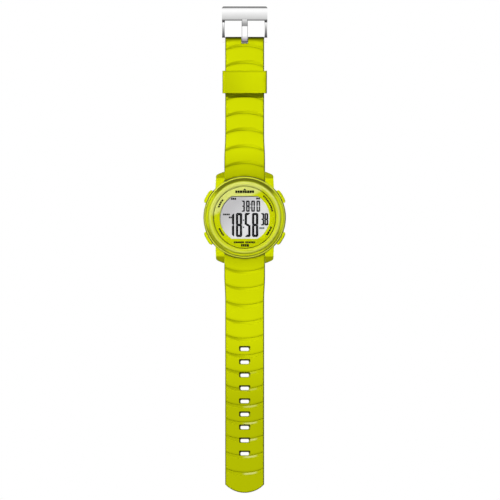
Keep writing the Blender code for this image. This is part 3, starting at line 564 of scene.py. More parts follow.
def display_material():
    """The display's silver-grey film, with painted shade that leaves it darker at its upper left
    and paler towards its right, and a fine grain.
    """
    nodes = Look("lcd_film")
    nodes.set(Roughness=0.6, Specular_IOR_Level=0.1)
    slant = nodes.maths("SUBTRACT", nodes.axis("X"), nodes.axis("Y"))
    tone = nodes.ramp(nodes.remap(slant, -14 * MM, 6 * MM, 0.0, 1.0, True),
                      [(0.0, (0.60, 0.59, 0.61)), (1.0, (0.84, 0.84, 0.86))])
    grain = nodes.mottle(nodes.noise(7000, 1), 0.97)
    nodes.link(nodes.shade(tone, grain), "Base Color")
    return nodes.material


def glass_material():
    """Clear mineral glass: seen through from the front, and glossy at a slant."""
    nodes = Look("lens_glass")
    nodes.set(Base_Color=(0.02, 0.025, 0.02, 1.0), Roughness=0.03, Specular_IOR_Level=0.5)
    facing = nodes.add("LayerWeight", [("Blend", 0.25)])
    smudge = nodes.remap(nodes.noise(140, 4), 0.35, 0.75, 0.55, 0.65)
    slant = nodes.maths("MULTIPLY", facing.outputs["Facing"], smudge)
    nodes.link(nodes.maths("ADD", slant, 0.012), "Alpha")
    return nodes.material


def polished_material(name, stops, side=None):
    """Polished steel, with painted reflections and painted shade along its length through (place,
    grey) stops and painted shade past a side, and hairline scratches."""
    nodes = Look(name)
    nodes.set(Metallic=1.0)
    low = stops[0][0]
    high = stops[-1][0]
    along = nodes.remap(nodes.axis("Y"), low * MM, high * MM, 0.0, 1.0)
    steel = nodes.ramp(along, [((y - low) / (high - low), colour) for y, colour in stops])
    steel = nodes.shade(steel, nodes.mottle(nodes.noise(260, 4), 0.97))
    if side is not None:
        away = nodes.maths("ABSOLUTE", nodes.axis("X"))
        edge = nodes.remap(away, (side - 0.14) * MM, (side - 0.02) * MM, 1.0, 0.32, True)
        steel = nodes.shade(steel, edge)
    nodes.link(steel, "Base Color")
    hair = nodes.noise(1400, 4, (1, 14, 14))
    nodes.link(nodes.remap(hair, 0.3, 0.8, 0.08, 0.22), "Roughness")
    nodes.bump(hair, 0.0006 * MM, 0.4)
    return nodes.material


def brushed_material(name, tint=(0.58, 0.58, 0.60), roughness=0.3, stretch=(1, 18, 18)):
    """Brushed steel, its lines along one axis."""
    nodes = Look(name)
    nodes.set(Metallic=1.0)
    lines = nodes.noise(900, 5, stretch)
    tone = nodes.mottle(lines, 0.82)
    nodes.link(nodes.shade(tint, tone), "Base Color")
    nodes.link(nodes.remap(lines, 0.3, 0.7, roughness - 0.06, roughness + 0.1), "Roughness")
    nodes.bump(lines, 0.002 * MM, 0.5)
    return nodes.material


def moulded_material(name, colour, roughness=0.55, specular=0.4):
    """A plain moulding or film with a fine grain."""
    nodes = Look(name)
    nodes.set(Specular_IOR_Level=specular)
    tone = nodes.mottle(nodes.noise(700, 4), 0.85)
    nodes.link(nodes.shade(colour, tone), "Base Color")
    nodes.link(nodes.remap(nodes.noise(500, 2), 0.3, 0.7, roughness - 0.05, roughness + 0.05),
               "Roughness")
    nodes.bump(nodes.noise(4200, 2), 0.004 * MM, 0.6)
    return nodes.material


STRAP_HALF_LOOK = resin("resin_buckle_half", 0.52, 0.22, half_painted_shade)
STRAP_TAIL_LOOK = resin("resin_tail", 0.52, 0.22, tail_painted_shade)
KEEPER_LOOK = resin("resin_keeper", 0.50, 0.22, keeper_painted_shade)
CASE_LOOK = resin("resin_case", 0.38, 0.35)
LUG_LOOK = resin("resin_lugs", 0.42, 0.30, lug_painted_shade)
BEZEL_LOOK = resin("resin_bezel", 0.24, 0.4, None, 0.3)
BUTTON_LOOK = resin("resin_buttons", 0.34, 0.4)
DIAL_LOOK = dial_print_material()
INK_LOOK = ink("ink_black", (0.012, 0.014, 0.002))
PALE_INK_LOOK = ink("ink_grey", (0.13, 0.17, 0.16))
SEGMENT_LOOK = ink("lcd_segments", (0.003, 0.003, 0.004))
LCD_LOOK = display_material()
GLASS_LOOK = glass_material()
# The grey stops below are painted reflections and painted shade on the buckle's polished steel.
BAR_LOOK = polished_material("steel_bar", [
    (102.2, grey(0.20)), (102.75, grey(0.34)), (103.2, grey(0.60)),
    (104.6, grey(0.70)), (105.9, grey(0.82)), (107.2, grey(0.96)),
    (108.1, grey(0.98)), (109.0, grey(0.60)), (109.5, grey(0.30))])
LEG_LOOK = polished_material("steel_legs", [
    (93.2, (0.95, 0.93, 0.94)), (93.5, (0.05, 0.045, 0.06)), (95.6, grey(0.20)),
    (97.6, grey(0.40)), (99.4, grey(0.75)), (101.0, grey(1.0)),
    (101.3, grey(0.45)), (101.6, grey(0.04))])
TONGUE_LOOK = polished_material("steel_tongue", [
    (91.0, (0.15, 0.13, 0.15)), (92.3, (0.40, 0.36, 0.43)), (93.6, grey(0.75)),
    (94.6, grey(1.0)), (99.15, grey(1.0)), (99.3, grey(0.28)),
    (100.6, grey(0.36)), (102.6, grey(0.72))], side=1.36)
BACK_LOOK = brushed_material("caseback_brushed", stretch=(18, 1, 18))
SEAL_LOOK = resin("resin_seal", 0.5, 0.2)
RUBBER_LOOK = moulded_material("seal_black", (0.018, 0.018, 0.016), 0.7, 0.2)

# What each of the record's slots looks like on the CAD nodes that stay.
SLOT_LOOKS = {
    "seal_rubber": RUBBER_LOOK,
    "diffuser_plastic": moulded_material("diffuser_white", (0.78, 0.80, 0.78), 0.45),
    "module_plastic": moulded_material("module_black", (0.03, 0.03, 0.035), 0.5),
    "board_laminate": moulded_material("board_green", (0.02, 0.16, 0.06), 0.42),
    "insulator_film": moulded_material("film_amber", (0.60, 0.30, 0.04), 0.35),
    "caseback_steel": BACK_LOOK,
    "cell_steel": brushed_material("cell_nickel", (0.68, 0.67, 0.65), 0.28),
    "spring_steel": brushed_material("spring_wire", (0.48, 0.48, 0.50), 0.26),
    "contact_brass": brushed_material("contact_brass", (0.72, 0.50, 0.20), 0.28),
    "bar_steel": brushed_material("bar_steel", (0.58, 0.58, 0.60), 0.24),
}


# ---------------------------------------------------------------- strap


def strap_heights(s, level, level_from):
    """Heights of a strap's lower and upper face at a distance from the case's centre."""
    if s < BAR_Y:
        drop = math.sqrt(max(0.0, KNUCKLE ** 2 - (BAR_Y - s) ** 2))
        return BAR_Z - drop, BAR_Z + drop
    start = BAR_Z - KNUCKLE
    lower = start + (level - start) * ease(s, SHOULDER, level_from)
    extra = 2 * KNUCKLE - THICKNESS
    return lower, lower + THICKNESS + extra * (1 - ease(s, SHOULDER, TAPER[1]))


def lag(x, radius):
    """How far a curved row's end lies behind its crown."""
    return radius - math.sqrt(radius ** 2 - x * x)


def scoop_width(out):
    """Width of a groove's scoop, from the strap's middle (0) to its edge (1)."""
    return SCOOP[0] - SCOOP[1] * out ** 4


def groove_depth(u, out):
    """Depth of a groove at a distance beyond its crease: a step down, then a slope up."""
    width = scoop_width(out)
    if u < -CREASE or u > width:
        return 0.0
    deepest = SCOOP_DEPTH[0] - SCOOP_DEPTH[1] * out ** 4
    cut = CREASE_DEPTH * max(0.0, 1 - abs(u) / CREASE)
    return cut + deepest * (1 - max(0.0, u) / width)


def edge_drop(inside, radius):
    """How far a rounded edge falls at a distance inside the outline."""
    if inside >= radius:
        return 0.0
    return radius - math.sqrt(max(0.0, radius ** 2 - (radius - inside) ** 2))


def strap_half_at(s):
    """Half the strap's width at a distance from the case's centre."""
    return STRAP_WIDE - (STRAP_WIDE - STRAP_NARROW) * ease(s, *TAPER)


class Strap:
    """A strap half, described by rows that run across it and bend with its grooves."""

    def __init__(self, level, level_from, grooves, end, end_radius, straight_from):
        self.level = level
        self.level_from = level_from
        self.crowns = [FIRST_GROOVE + GROOVE_PITCH * k for k in range(grooves)]
        self.end = end
        self.end_radius = end_radius
        self.straight_from = straight_from

    def behind(self, crown, x):
        """How far a row lies behind its crown at x."""
        groove = lag(x, GROOVE_ARC) * ease(crown, SHOULDER, FIRST_GROOVE - 1.2)
        last = 0.0 if self.end_radius is None else lag(x, self.end_radius)
        share = ease(crown, self.straight_from, self.end - 0.2)
        return groove * (1 - share) + last * share

    def rows(self):
        """Crowns of all rows, close together at the knuckle, the grooves and the end."""
        rows = [BAR_Y - KNUCKLE * math.cos(math.radians(a)) for a in (4, 12, 24, 38, 54, 72)]
        place = BAR_Y
        for crown in self.crowns:
            rows += evenly(place, crown - 0.25, 0.9)
            rows += [crown + u for u in GROOVE_ROWS]
            place = crown + 2.0
        rows += evenly(place, self.end - 1.25, 0.9)
        rows += [self.end - gap for gap in (1.0, 0.75, 0.55, 0.38, 0.24, 0.13, 0.05, 0.0)]
        return rows

    def groove_at(self, x, s):
        """Distance beyond the nearest groove's crease, and the place across the strap."""
        crown = s + lag(x, GROOVE_ARC)
        number = round((crown - FIRST_GROOVE - 0.7) / GROOVE_PITCH)
        number = min(len(self.crowns) - 1, max(0, number))
        return crown - self.crowns[number], abs(x) / strap_half_at(s)

    def ring(self, crown):
        """One row of the skin: across its upper face, then back under it."""
        shares = [1, 0.994, 0.98, 0.96, 0.935] + [0.9 - 0.05 * i for i in range(37)]
        shares += [-0.935, -0.96, -0.98, -0.994, -1]
        points = []
        for share in shares:
            x, s, half = self.place(crown, share)
            lower, upper = strap_heights(s, self.level, self.level_from)
            thick = upper - lower
            edge = min(STRAP_EDGE, thick * 0.45)
            inside = min(half - abs(x), self.end - crown)
            fall = edge_drop(inside, edge) + 0.15 * share * share
            depth = max((groove_depth(crown - c, abs(share)) for c in self.crowns), default=0)
            points.append((x, s, upper - min(thick * 0.8, fall + depth)))
        for share in reversed(shares):
            x, s, half = self.place(crown, share)
            lower, upper = strap_heights(s, self.level, self.level_from)
            rise = min(0.3, (upper - lower) * 0.2) if abs(share) == 1 else 0.0
            points.append((x, s, lower + rise))
        return points

    def place(self, crown, share):
        """Where a share of the strap's width falls on a row, and half the width there."""
        half = strap_half_at(crown)
        x = share * half
        s = crown - self.behind(crown, x)
        half = strap_half_at(s)
        return share * half, s, half

    def skin(self, name, turn):
        """The strap's fine skin, before anything is cut through it."""
        return lofted(name, [self.ring(crown) for crown in self.rows()], turn)

    def painted_shade_and_dark_tone_at(self, x, s, z):
        """Painted shade: in a crease, in a scoop, along the edges, on the underside and under the
        case's rim.
        """
        half = strap_half_at(s)
        upper = strap_heights(s, self.level, self.level_from)[1]
        # Painted shade on the lower faces.
        if z < upper - 1.1:
            return 0.25
        u, out = self.groove_at(x, s)
        # Painted shade in the crease and in the scoop beyond it, deepest at the left and fading
        # towards the tail's end.
        amount = 0.42 * max(0.0, 1 - abs(u) / 0.22)
        width = scoop_width(out)
        if 0 < u < width:
            across = 0.34 * (1 - ease(x, -6, 2.5)) + 0.18 * ease(x, 6.5, 9)
            across *= 1 - ease(s, 70, 110)
            amount = max(amount, across * ease(1 - u / width, 0, 0.5))
        outline = half - abs(x)
        if self.end_radius is not None:
            outline = min(outline, self.end - s - lag(x, self.end_radius))
        # Painted shade along the outline, and a painted shadow where the case's rim overhangs the
        # strap.
        edge = 0.80 * (1 - ease(outline, 0.15, 0.75)) * ease(s, 23, 25)
        under = 0.5 * (1 - ease(math.hypot(x, s), 21.5, 22.1))
        return max(amount, edge, under)

    def painted_glint_at(self, x, s):
        """Painted highlight on the far slope of a scoop, right of the middle, towards the tail's
        end.
        """
        u = self.groove_at(x, s)[0]
        inside = ease(u, 0.3, 0.6) * (1 - ease(u, 1.1, 1.5))
        across = ease(x, -1.5, 1) * (1 - ease(x, 5, 7))
        return 0.5 * inside * across * ease(s, 70, 115)


def evenly(start, end, step):
    """Numbers from start to just before end, about a step apart."""
    count = max(1, round((end - start) / step))
    return [start + (end - start) * i / count for i in range(count)]


def make_buckle_half():
    """The strap half that carries the keeper and the buckle."""
    half = Strap(HALF_LEVEL, HALF_LEVEL_FROM, HALF_GROOVES, STRAP_END, None, 90.7)
    strap = half.skin("buckle_half_skin", Matrix())
    notch = rounded_rectangle((0, STRAP_END + 1), NOTCH_HALF_WIDTH, 4.2, 0.3)
    strap = boolean(strap, prism("notch", [notch], -1, 8))
    slope = [(STRAP_END - 3.15, 2.7), (STRAP_END - 3.65, 4.7),
             (STRAP_END - 2.0, 4.7), (STRAP_END - 2.0, 2.7)]
    wedge = prism("notch_slope", [slope], -NOTCH_HALF_WIDTH, NOTCH_HALF_WIDTH, SIDE_ON)
    strap = boolean(strap, wedge)
    strap = boolean(strap, bore(BAR_Y, BAR_Z, 1, -12, 12))
    strap = boolean(strap, bore(PIN_Y, PIN_Z, PIN_RADIUS + 0.1, -12, 12))
    strap = shaded(strap, 50)

    def painted_shade_and_dark_tone(point):
        # Painted shadow across the strap's end by the buckle, and painted shade on the notch's
        # sides.
        end = 0.97 * ease(point.y, STRAP_END - 2.9, STRAP_END - 0.5)
        in_notch = abs(point.x) < 1.7 and point.y > STRAP_END - 3.7
        notch_painted_shade = 0.85 if in_notch else 0.0
        return max(end, notch_painted_shade, half.painted_shade_and_dark_tone_at(point.x, point.y, point.z))

    tone(strap, painted_shade_and_dark_tone)
    piece(strap, "buckle_strap", STRAP_HALF_LOOK, ["strap_buckle_half"])


def slot_tool(centre):
    """A slot whose wall slopes at the side of the strap's end nearest the case."""
    sizes = [(4.0, 2.98, 1.42, 0.0), (2.62, 2.96, 1.40, 0.0), (2.5, 2.92, 1.37, 0.0),
             (1.2, 2.26, 0.92, 0.30), (1.0, 2.16, 0.86, 0.33), (-1.0, 2.16, 0.86, 0.33)]
    rings = []
    for height, half_width, half_height, shift in sizes:
        outline = rounded_rectangle((0, centre + shift), half_width, half_height, 0.6)
        rings.append([(x, y, height) for x, y in outline])
    return lofted("slot", rings, HALF_TURN)


def slot_painted_shade(point):
    """Painted shade on a slot's wall: most at the side nearest the case."""
    number = round((-point.y - FIRST_SLOT) / SLOT_PITCH)
    if not 0 <= number < SLOTS or abs(point.x) > 2.93 or point.z > 2.56:
        return 0.0
    along = -point.y - (FIRST_SLOT + SLOT_PITCH * number)
    if abs(along) > 1.4:
        return 0.0
    return 0.9 * (1 - ease(along, -0.3, 0.9))


def make_tail_half():
    """The strap half with the slots."""
    rise = TAIL_TIP - TAIL_STRAIGHT
    radius = (STRAP_NARROW ** 2 + rise ** 2) / (2 * rise)
    last_groove = FIRST_GROOVE + GROOVE_PITCH * (TAIL_GROOVES - 1)
    half = Strap(0.0, TAIL_LEVEL_FROM, TAIL_GROOVES, TAIL_TIP, radius, last_groove + 1.9)
    strap = half.skin("tail_half_skin", HALF_TURN)
    for number in range(SLOTS):
        strap = boolean(strap, slot_tool(FIRST_SLOT + SLOT_PITCH * number))
    strap = shaded(boolean(strap, bore(BAR_Y, BAR_Z, 1, -12, 12, turn=HALF_TURN)), 50)
    # Painted shade on the slots' walls and the strap, and painted highlights on the far scoops.
    tone(strap, lambda point: max(slot_painted_shade(point), half.painted_shade_and_dark_tone_at(point.x, -point.y, point.z)),
         lambda point: half.painted_glint_at(point.x, -point.y) * (point.z > 1.2))
    piece(strap, "tail_strap", STRAP_TAIL_LOOK, ["strap_tail_half"])


def make_keeper():
    """The loop round the strap, with soft edges."""
    middle = (0, (KEEPER_LOW.z + KEEPER_HIGH.z) / 2)
    half = (KEEPER_HIGH - KEEPER_LOW) / 2
    wall = 1.2
    outer = rounded_rectangle(middle, half.x, half.z, 1.5, 10)
    inner = rounded_rectangle(middle, half.x - wall, half.z - wall, 0.5, 6)
    place = at(0, (KEEPER_LOW.y + KEEPER_HIGH.y) / 2, 0) @ UPRIGHT
    loop = prism("keeper_skin", [outer, inner], -half.y, half.y, place)
    loop = shaded(bevelled(loop, 0.32, 4))
    side = KEEPER_HIGH.x
    # Painted shade along the keeper's sides.
    tone(loop, lambda point: 0.45 * ease(abs(point.x), side - 0.5, side - 0.1))
    piece(loop, "keeper", KEEPER_LOOK, ["keeper_loop"])


# ---------------------------------------------------------------- case


def make_barrel():
    """The case's turned body: foot, side, chamfered rim, groove and the seat of the bezel."""
    top = CASE_HIGH.z
    foot = CASE_LOW.z
    edge = CASE_RADIUS
    cavity = 16.4
    floor = 1.15
    profile = [(BEZEL_RADIUS, 10.0), (BEZEL_RADIUS, 9.6), (19.15, 9.55), (RIM_INNER - 0.24, 9.55),
               (RIM_INNER - 0.16, 9.54), (RIM_INNER - 0.02, 9.5)]
    profile += arc((RIM_INNER + 0.2, top - 0.2), 0.2, 180, 90, 4)
    profile += [(RIM_INNER + 0.28, top), (edge - 0.62, top - 0.12), (edge - 0.45, top - 0.24),
                (edge - 0.39, top - 0.3), (edge - 0.15, top - 0.8), (edge, top - 1.3),
                (edge, 7.9), (edge, 6.2), (edge, 2.6)]
    profile += arc((edge - 1.6, foot + 1.6), 1.6, 0, -60, 6)
    profile += [(edge - 1.2, foot), (edge - 1.3, foot), (edge - 1.3, floor), (cavity, floor),
                (cavity, 10.0)]
    barrel = turned("case_barrel", profile, 240, closed=True)
    recess = rectangle((-RECESS, RECESS_FROM), (RECESS, 30))
    for turn in (Matrix(), HALF_TURN):
        barrel = boolean(barrel, prism("recess", [recess], -2, POCKET_TOP, turn))
    pocket = rectangle((20.15, -3.9), (24, 3.9))
    for angle in BUTTON_ANGLES.values():
        turn = Matrix.Rotation(math.radians(angle), 4, "Z")
        barrel = boolean(barrel, prism("pocket", [pocket], 3.6, POCKET_TOP, turn))
    tone(shaded(barrel), barrel_painted_shade, barrel_painted_highlight)
    piece(barrel, "case", CASE_LOOK, ["case_body"])


def lobe(point, hour, flat, end):
    """1 round an hour on the dial, fading to 0 between two distances in hours from it."""
    angle = math.degrees(math.atan2(point.x, point.y)) / 30
    apart = abs((angle - hour + 6) % 12 - 6)
    return 1 - ease(apart, flat, end)


def barrel_painted_shade(point):
    """Painted shade on the case: in the ring's groove, and at the rim's two edges."""
    radius = math.hypot(point.x, point.y)
    if point.z < 7.7 or radius < BEZEL_RADIUS - 0.1:
        return 0.0
    if radius < RIM_INNER - 0.2:
        return max(0.80 * lobe(point, 12, 1.35, 2.1), 0.50 * lobe(point, 7.7, 0.5, 1.1),
                   0.40 * lobe(point, 4.3, 0.5, 1.0), 0.10)
    if radius < RIM_INNER + 0.22:
        return max(0.80 * lobe(point, 6.2, 2.0, 3.0), 0.80 * lobe(point, 12, 1.35, 2.1), 0.35)
    if radius > CASE_RADIUS - 0.40:
        strap = max(lobe(point, 12, 0.95, 1.1), lobe(point, 6, 0.95, 1.1))
        buttons = max(lobe(point, hour, 0.36, 0.5) for hour in (2, 4, 8, 10))
        sides = max(lobe(point, hour, 0.3, 0.8) for hour in (3, 9))
        return max(0.95 * strap, 0.95 * buttons, 0.6 * sides)
    return 0.25 * max(lobe(point, 3, 0.5, 1.0), lobe(point, 9, 0.5, 1.2))


def barrel_painted_highlight(point):
    """Painted highlight: strong along the rim's top, faint elsewhere."""
    on_rim = RIM_INNER + 0.22 < math.hypot(point.x, point.y) < CASE_RADIUS - 0.34
    return 0.14 if on_rim and point.z > 9 else 0.02


def make_lugs():
    """The four lugs, with soft edges and a slope at their ends."""
    root = 13.4
    inner = 10.57
    tip = CASE_HIGH.y
    side = [(root, 1.0), (21.3, 1.0)]
    side += arc((tip - 2.0, 3.2), 2.0, -70, 0, 6)
    side += arc((tip - 1.7, 5.2), 1.7, 0, 50, 5)
    side += [(19.9, 8.25), (19.6, 8.3), (root, 8.3)]
    plan = [(inner, root), (15.3, root), (15.2, 14.9), (14.95, 20.2), (14.9, 21.3), (14.6, 22.0),
            (13.9, 22.5), (12.5, 23.1), (10.95, tip), (inner, tip)]
    for x_name, x_side in SIDES.items():
        for y_name, y_side in (("upper", 1), ("lower", -1)):
            lug = prism(f"lug_{y_name}_{x_name}", [side], 0, 18, SIDE_ON)
            lug = boolean(lug, prism("plan", [plan], 0, 10), "INTERSECT")
            lug = bevelled(lug, 0.3, 3, 50)
            lug = boolean(lug, bore(BAR_Y, BAR_Z, 0.5, 9, 11.9, 24))
            lug.data.transform(Matrix.Diagonal((x_side, y_side, 1, 1)))
            if x_side * y_side < 0:
                lug.data.flip_normals()
            piece(shaded(lug, 28), "case", LUG_LOOK)


def bezel_painted_shade(point):
    """Painted shade down the bezel's outer side."""
    outside = ease(math.hypot(point.x, point.y), 18.3, 19.0)
    return outside * max(0.5 * lobe(point, 12, 1.3, 2.3), 0.40 * lobe(point, 6.5, 1.0, 2.5), 0.15)


def bezel_painted_highlight(point):
    """Painted highlight on the bezel: over its upper left, and along its crown."""
    inside = 1 - ease(math.hypot(point.x, point.y), 17.2, 17.9)
    crown = 1 - abs(math.hypot(point.x, point.y) - 18.0) / 0.8
    upper_left = 0.45 * lobe(point, 11.1, 1.8, 2.1)
    return max(inside * upper_left, max(0.0, crown) * (0.2 + 0.3 * lobe(point, 12, 1.5, 4)), 0.03)


def make_bezel():
    """The domed ring round the lens."""
    low = BEZEL_LOW.z
    high = BEZEL_HIGH.z
    inner_width = BEZEL_INNER - BEZEL_CROWN
    outer_width = BEZEL_RADIUS - BEZEL_CROWN
    profile = ellipse_arc((BEZEL_CROWN, high - 1.15), inner_width, 1.15, 0, 90, 10)
    outer = ellipse_arc((BEZEL_CROWN, high - 1.45), outer_width, 1.45, 90, 0, 14)
    profile += outer[1:] + [(BEZEL_RADIUS, low), (BEZEL_INNER, low)]
    ring = turned("bezel_dome", profile, 240, closed=True)
    tone(shaded(ring, 40), bezel_painted_shade, bezel_painted_highlight)
    piece(ring, "case", BEZEL_LOOK, ["bezel_ring"])


def make_lens():
    """The glass, with a chamfered edge, and the black seal round it."""
    edge = 0.25
    profile = [(0, LENS_HIGH.z), (LENS_RADIUS - edge, LENS_HIGH.z),
               (LENS_RADIUS - edge * 0.3, LENS_HIGH.z - edge * 0.3),
               (LENS_RADIUS, LENS_HIGH.z - edge), (LENS_RADIUS, LENS_LOW.z), (0, LENS_LOW.z)]
    lens = shaded(turned("lens_disc", profile, 192))
    piece(lens, "case", GLASS_LOOK, ["lens"])
    top = LENS_HIGH.z - 0.15
    profile = [(SEAL_INNER, top), (SEAL_OUTER, top), (SEAL_OUTER, LENS_LOW.z),
               (SEAL_INNER, LENS_LOW.z)]
    seal = turned("lens_seal", profile, 192, closed=True)
    seal = shaded(bevelled(seal, 0.03, 2))
    # The seal's near-black is its own colour; at its upper left a painted highlight makes it
    # lighter.
    tone(seal, lambda point: 0.97 - 0.35 * lobe(point, 11.1, 1.8, 2.1),
         lambda point: 0.2 * lobe(point, 11.1, 1.8, 2.1))
    piece(seal, "case", SEAL_LOOK, ["lens_gasket"])


def make_buttons():
    """The four caps, with soft edges and a raised pad on each."""
    edge = math.degrees(math.asin(BUTTON_HALF_WIDTH / BUTTON_OUTER))
    pad_edge = edge * 0.82
    plan = [(BUTTON_INNER, BUTTON_HALF_WIDTH), (BUTTON_INNER, -BUTTON_HALF_WIDTH)]
    plan += arc((0, 0), BUTTON_OUTER - 0.25, -edge, edge, 20)
    pad_plan = arc((0, 0), BUTTON_OUTER - 0.6, pad_edge, -pad_edge, 16)
    pad_plan += arc((0, 0), BUTTON_OUTER, -pad_edge, pad_edge, 16)
    for name, angle in BUTTON_ANGLES.items():
        turn = Matrix.Rotation(math.radians(angle), 4, "Z") @ at(0, 0, BUTTON_MIDDLE)
        cap = bevelled(prism("cap_" + name, [plan], -1.75, 1.75, turn), 0.4, 4)
        piece(shaded(cap), "button_" + name, BUTTON_LOOK, ["button_" + name])
        pad = bevelled(prism("pad_" + name, [pad_plan], -1.2, 1.2, turn), 0.2, 3)
        piece(shaded(pad), "button_" + name, BUTTON_LOOK)


def make_caseback():
    """The steel back, with a turned groove and sinks for its four screws."""
    outline = clipped_circle(BACK_RADIUS, BACK_HIGH.y)
    plate = prism("back_plate", [outline], 0, BACK_HIGH.z)
    plate = bevelled(plate, 0.15, 2)
    for number in range(1, 5):
        low, high = in_mm(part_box(f"caseback_screw_{number}"))
        sink = [(0, 2), (0.65, 2), (0.65, 0.7), (1.4, -0.05), (0, -0.05)]
        place = at((low.x + high.x) / 2, (low.y + high.y) / 2, 0)
        plate = boolean(plate, turned("sink", sink, 32, place))
    groove = [(14.6, 0.12), (14.6, -1), (14.2, -1), (14.2, 0.12)]
    plate = boolean(plate, turned("back_groove", groove, 160, closed=True))
    piece(shaded(plate), "case", BACK_LOOK, ["caseback"])


# ---------------------------------------------------------------- dial and display


def make_dial():
    """The lime ring under the lens, with its clipped-round window."""
    window = clipped_circle(WINDOW_RADIUS, WINDOW_HALF_HEIGHT, 144)
    dial = prism("dial_ring", [circle((0, 0), DIAL_RADIUS, 180), window], DIAL_LOW.z, DIAL_HIGH.z)
    piece(shaded(bevelled(dial, 0.08, 2)), "case", DIAL_LOOK, ["dial_plate"])


def marks(name, outlines, height, look):
    """A set of flat printed marks just above a surface."""
    obj = prism(name, outlines, height + INK_GAP, height + INK_GAP + INK_THICKNESS)
    piece(obj, "case", look)


def block_row(x_from, x_to, y, height, widths):
    """A row of plain blocks between two places, with small gaps; it stands where a line of small
    print would be, and spells nothing."""
    gap = 0.13
    room = (x_to - x_from) - gap * (len(widths) - 1)
    unit = room / sum(widths)
    outlines = []
    x = x_from
    for width in widths:
        outlines.append(rectangle((x, y - height / 2), (x + width * unit, y + height / 2)))
        x += width * unit + gap
    return outlines


def block_arc(radius, start, end, height, widths):
    """A row of plain blocks along an arc, between two angles in degrees."""
    gap = 0.6
    step = 1 if end > start else -1
    room = abs(end - start) - gap * (len(widths) - 1)
    unit = room / sum(widths)
    angle = start
    outlines = []
    for width in widths:
        middle = math.radians(angle + step * width * unit / 2)
        half = radius * math.radians(width * unit) / 2
        block = rectangle((-height / 2, -half), (height / 2, half))
        centre = (radius * math.cos(middle), radius * math.sin(middle))
        outlines.append(placed_outline(block, centre, middle))
        angle += step * (width * unit + gap)
    return outlines


# Rows of blocks on the dial: from, to, y, height and the blocks' widths as shares.
DIAL_ROWS = [
    (-4.85, 4.85, 13.3, 1.35, [1, 1, 1.2, 1, 1, 1.2, 1, 1]),
    (-5.6, -0.4, -12.9, 0.95, [1, 1, 1, 1, 1]),
    (0.36, 5.4, -12.9, 0.95, [1, 1, 1, 1, 1, 1]),
    (-1.9, 2.2, -14.5, 1.3, [1, 1, 1, 1.4]),
]
# Rows along an arc: radius, start and end in degrees, height and widths.
DIAL_ARCS = [
    (14.75, 49, 12, 0.85, [1, 0.8, 1, 1, 0.7, 1, 0.9, 1, 0.8, 1]),
    (14.5, 159, 141, 0.9, [1, 0.9, 1, 1]),
    (14.35, 203, 221, 0.9, [1, 0.9, 1, 1]),
    (14.6, 321, 341, 0.9, [1, 0.8, 1, 1.1]),
]


def make_dial_print():
    """Plain blocks on the dial where small print would be."""
    outlines = [[(-0.8, 14.15), (0.8, 14.15), (0.0, 15.0)]]
    for row in DIAL_ROWS:
        outlines += block_row(*row)
    for row in DIAL_ARCS:
        outlines += block_arc(*row)
    marks("dial_print_marks", outlines, DIAL_HIGH.z, INK_LOOK)


# The segments that are lit for each digit: a to f run clockwise from the top, g is the middle.
LIT = {"0": "abcdef", "1": "bc", "3": "abcdg", "5": "acdfg", "8": "abcdefg"}

# The display's digits: their text, each one's left and right, their bottom and top, the stroke.
DIGITS = [
    ("38", (-1.75, 0.07, 0.72, 2.58), (2.95, 8.75), 0.73),
    ("00", (3.4, 5.3, 6.1, 8.0), (2.95, 8.75), 0.73),
    ("18", (-7.6, -5.42, -4.55, -1.32), (-10.15, 2.35), 1.2),
    ("58", (0.0, 3.02, 3.8, 7.03), (-10.15, 2.35), 1.2),
    ("38", (8.2, 10.12, 10.24, 12.2), (-4.15, 2.25), 0.8),
]
# The dots of its two colons: x, y and size.
COLONS = [(-0.62, -1.4, 0.70), (-0.62, -5.1, 0.70), (3.0, 6.9, 0.5), (3.0, 4.9, 0.5)]
# Rows of blocks in place of its small labels, as on the dial.
DISPLAY_ROWS = [
    (-7.05, -4.45, 9.65, 1.05, [1, 1, 1]),
    (5.95, 7.95, 9.8, 0.9, [1, 1]),
    (-11.2, -7.7, 1.55, 0.85, [1, 1, 1, 1]),
    (-8.2, -6.7, 0.0, 0.9, [1, 1]),
]


def dot(x, y, size):
    """A colon's dot: a small square with soft corners."""
    return rounded_rectangle((x, y), size / 2, size / 2, size * 0.3, 3)


def digit(value, left, right, bottom, top, stroke):
    """A seven-segment digit between two corners, as mitred strokes with hairline gaps."""
    half = stroke / 2
    cut = 0.45 * stroke
    gap = 0.012
    middle = (bottom + top) / 2
    shapes = {"g": [(left + half, middle), (left + stroke, middle + half),
                    (right - stroke, middle + half), (right - half, middle),
                    (right - stroke, middle - half), (left + stroke, middle - half)]}
    for key, y, inward in (("a", top, -1), ("d", bottom, 1)):
        shapes[key] = [(left + cut + gap, y), (right - cut - gap, y),
                       (right - cut / 2 - gap, y + inward * cut / 2),
                       (right - stroke - gap, y + inward * stroke),
                       (left + stroke + gap, y + inward * stroke),
                       (left + cut / 2 + gap, y + inward * cut / 2)]
    for key, x, across, y, along in (("f", left, 1, top, -1), ("b", right, -1, top, -1),
                                     ("e", left, 1, bottom, 1), ("c", right, -1, bottom, 1)):
        shapes[key] = [(x + across * cut / 2, y + along * (cut / 2 + gap)),
                       (x, y + along * (cut + gap)), (x, middle - along * 0.16 * stroke),
                       (x + across * (half - gap), middle - along * gap * 1.5),
                       (x + across * stroke, middle - along * (half + gap)),
                       (x + across * stroke, y + along * (stroke + gap))]
    return [shapes[key] for key in LIT[value]]


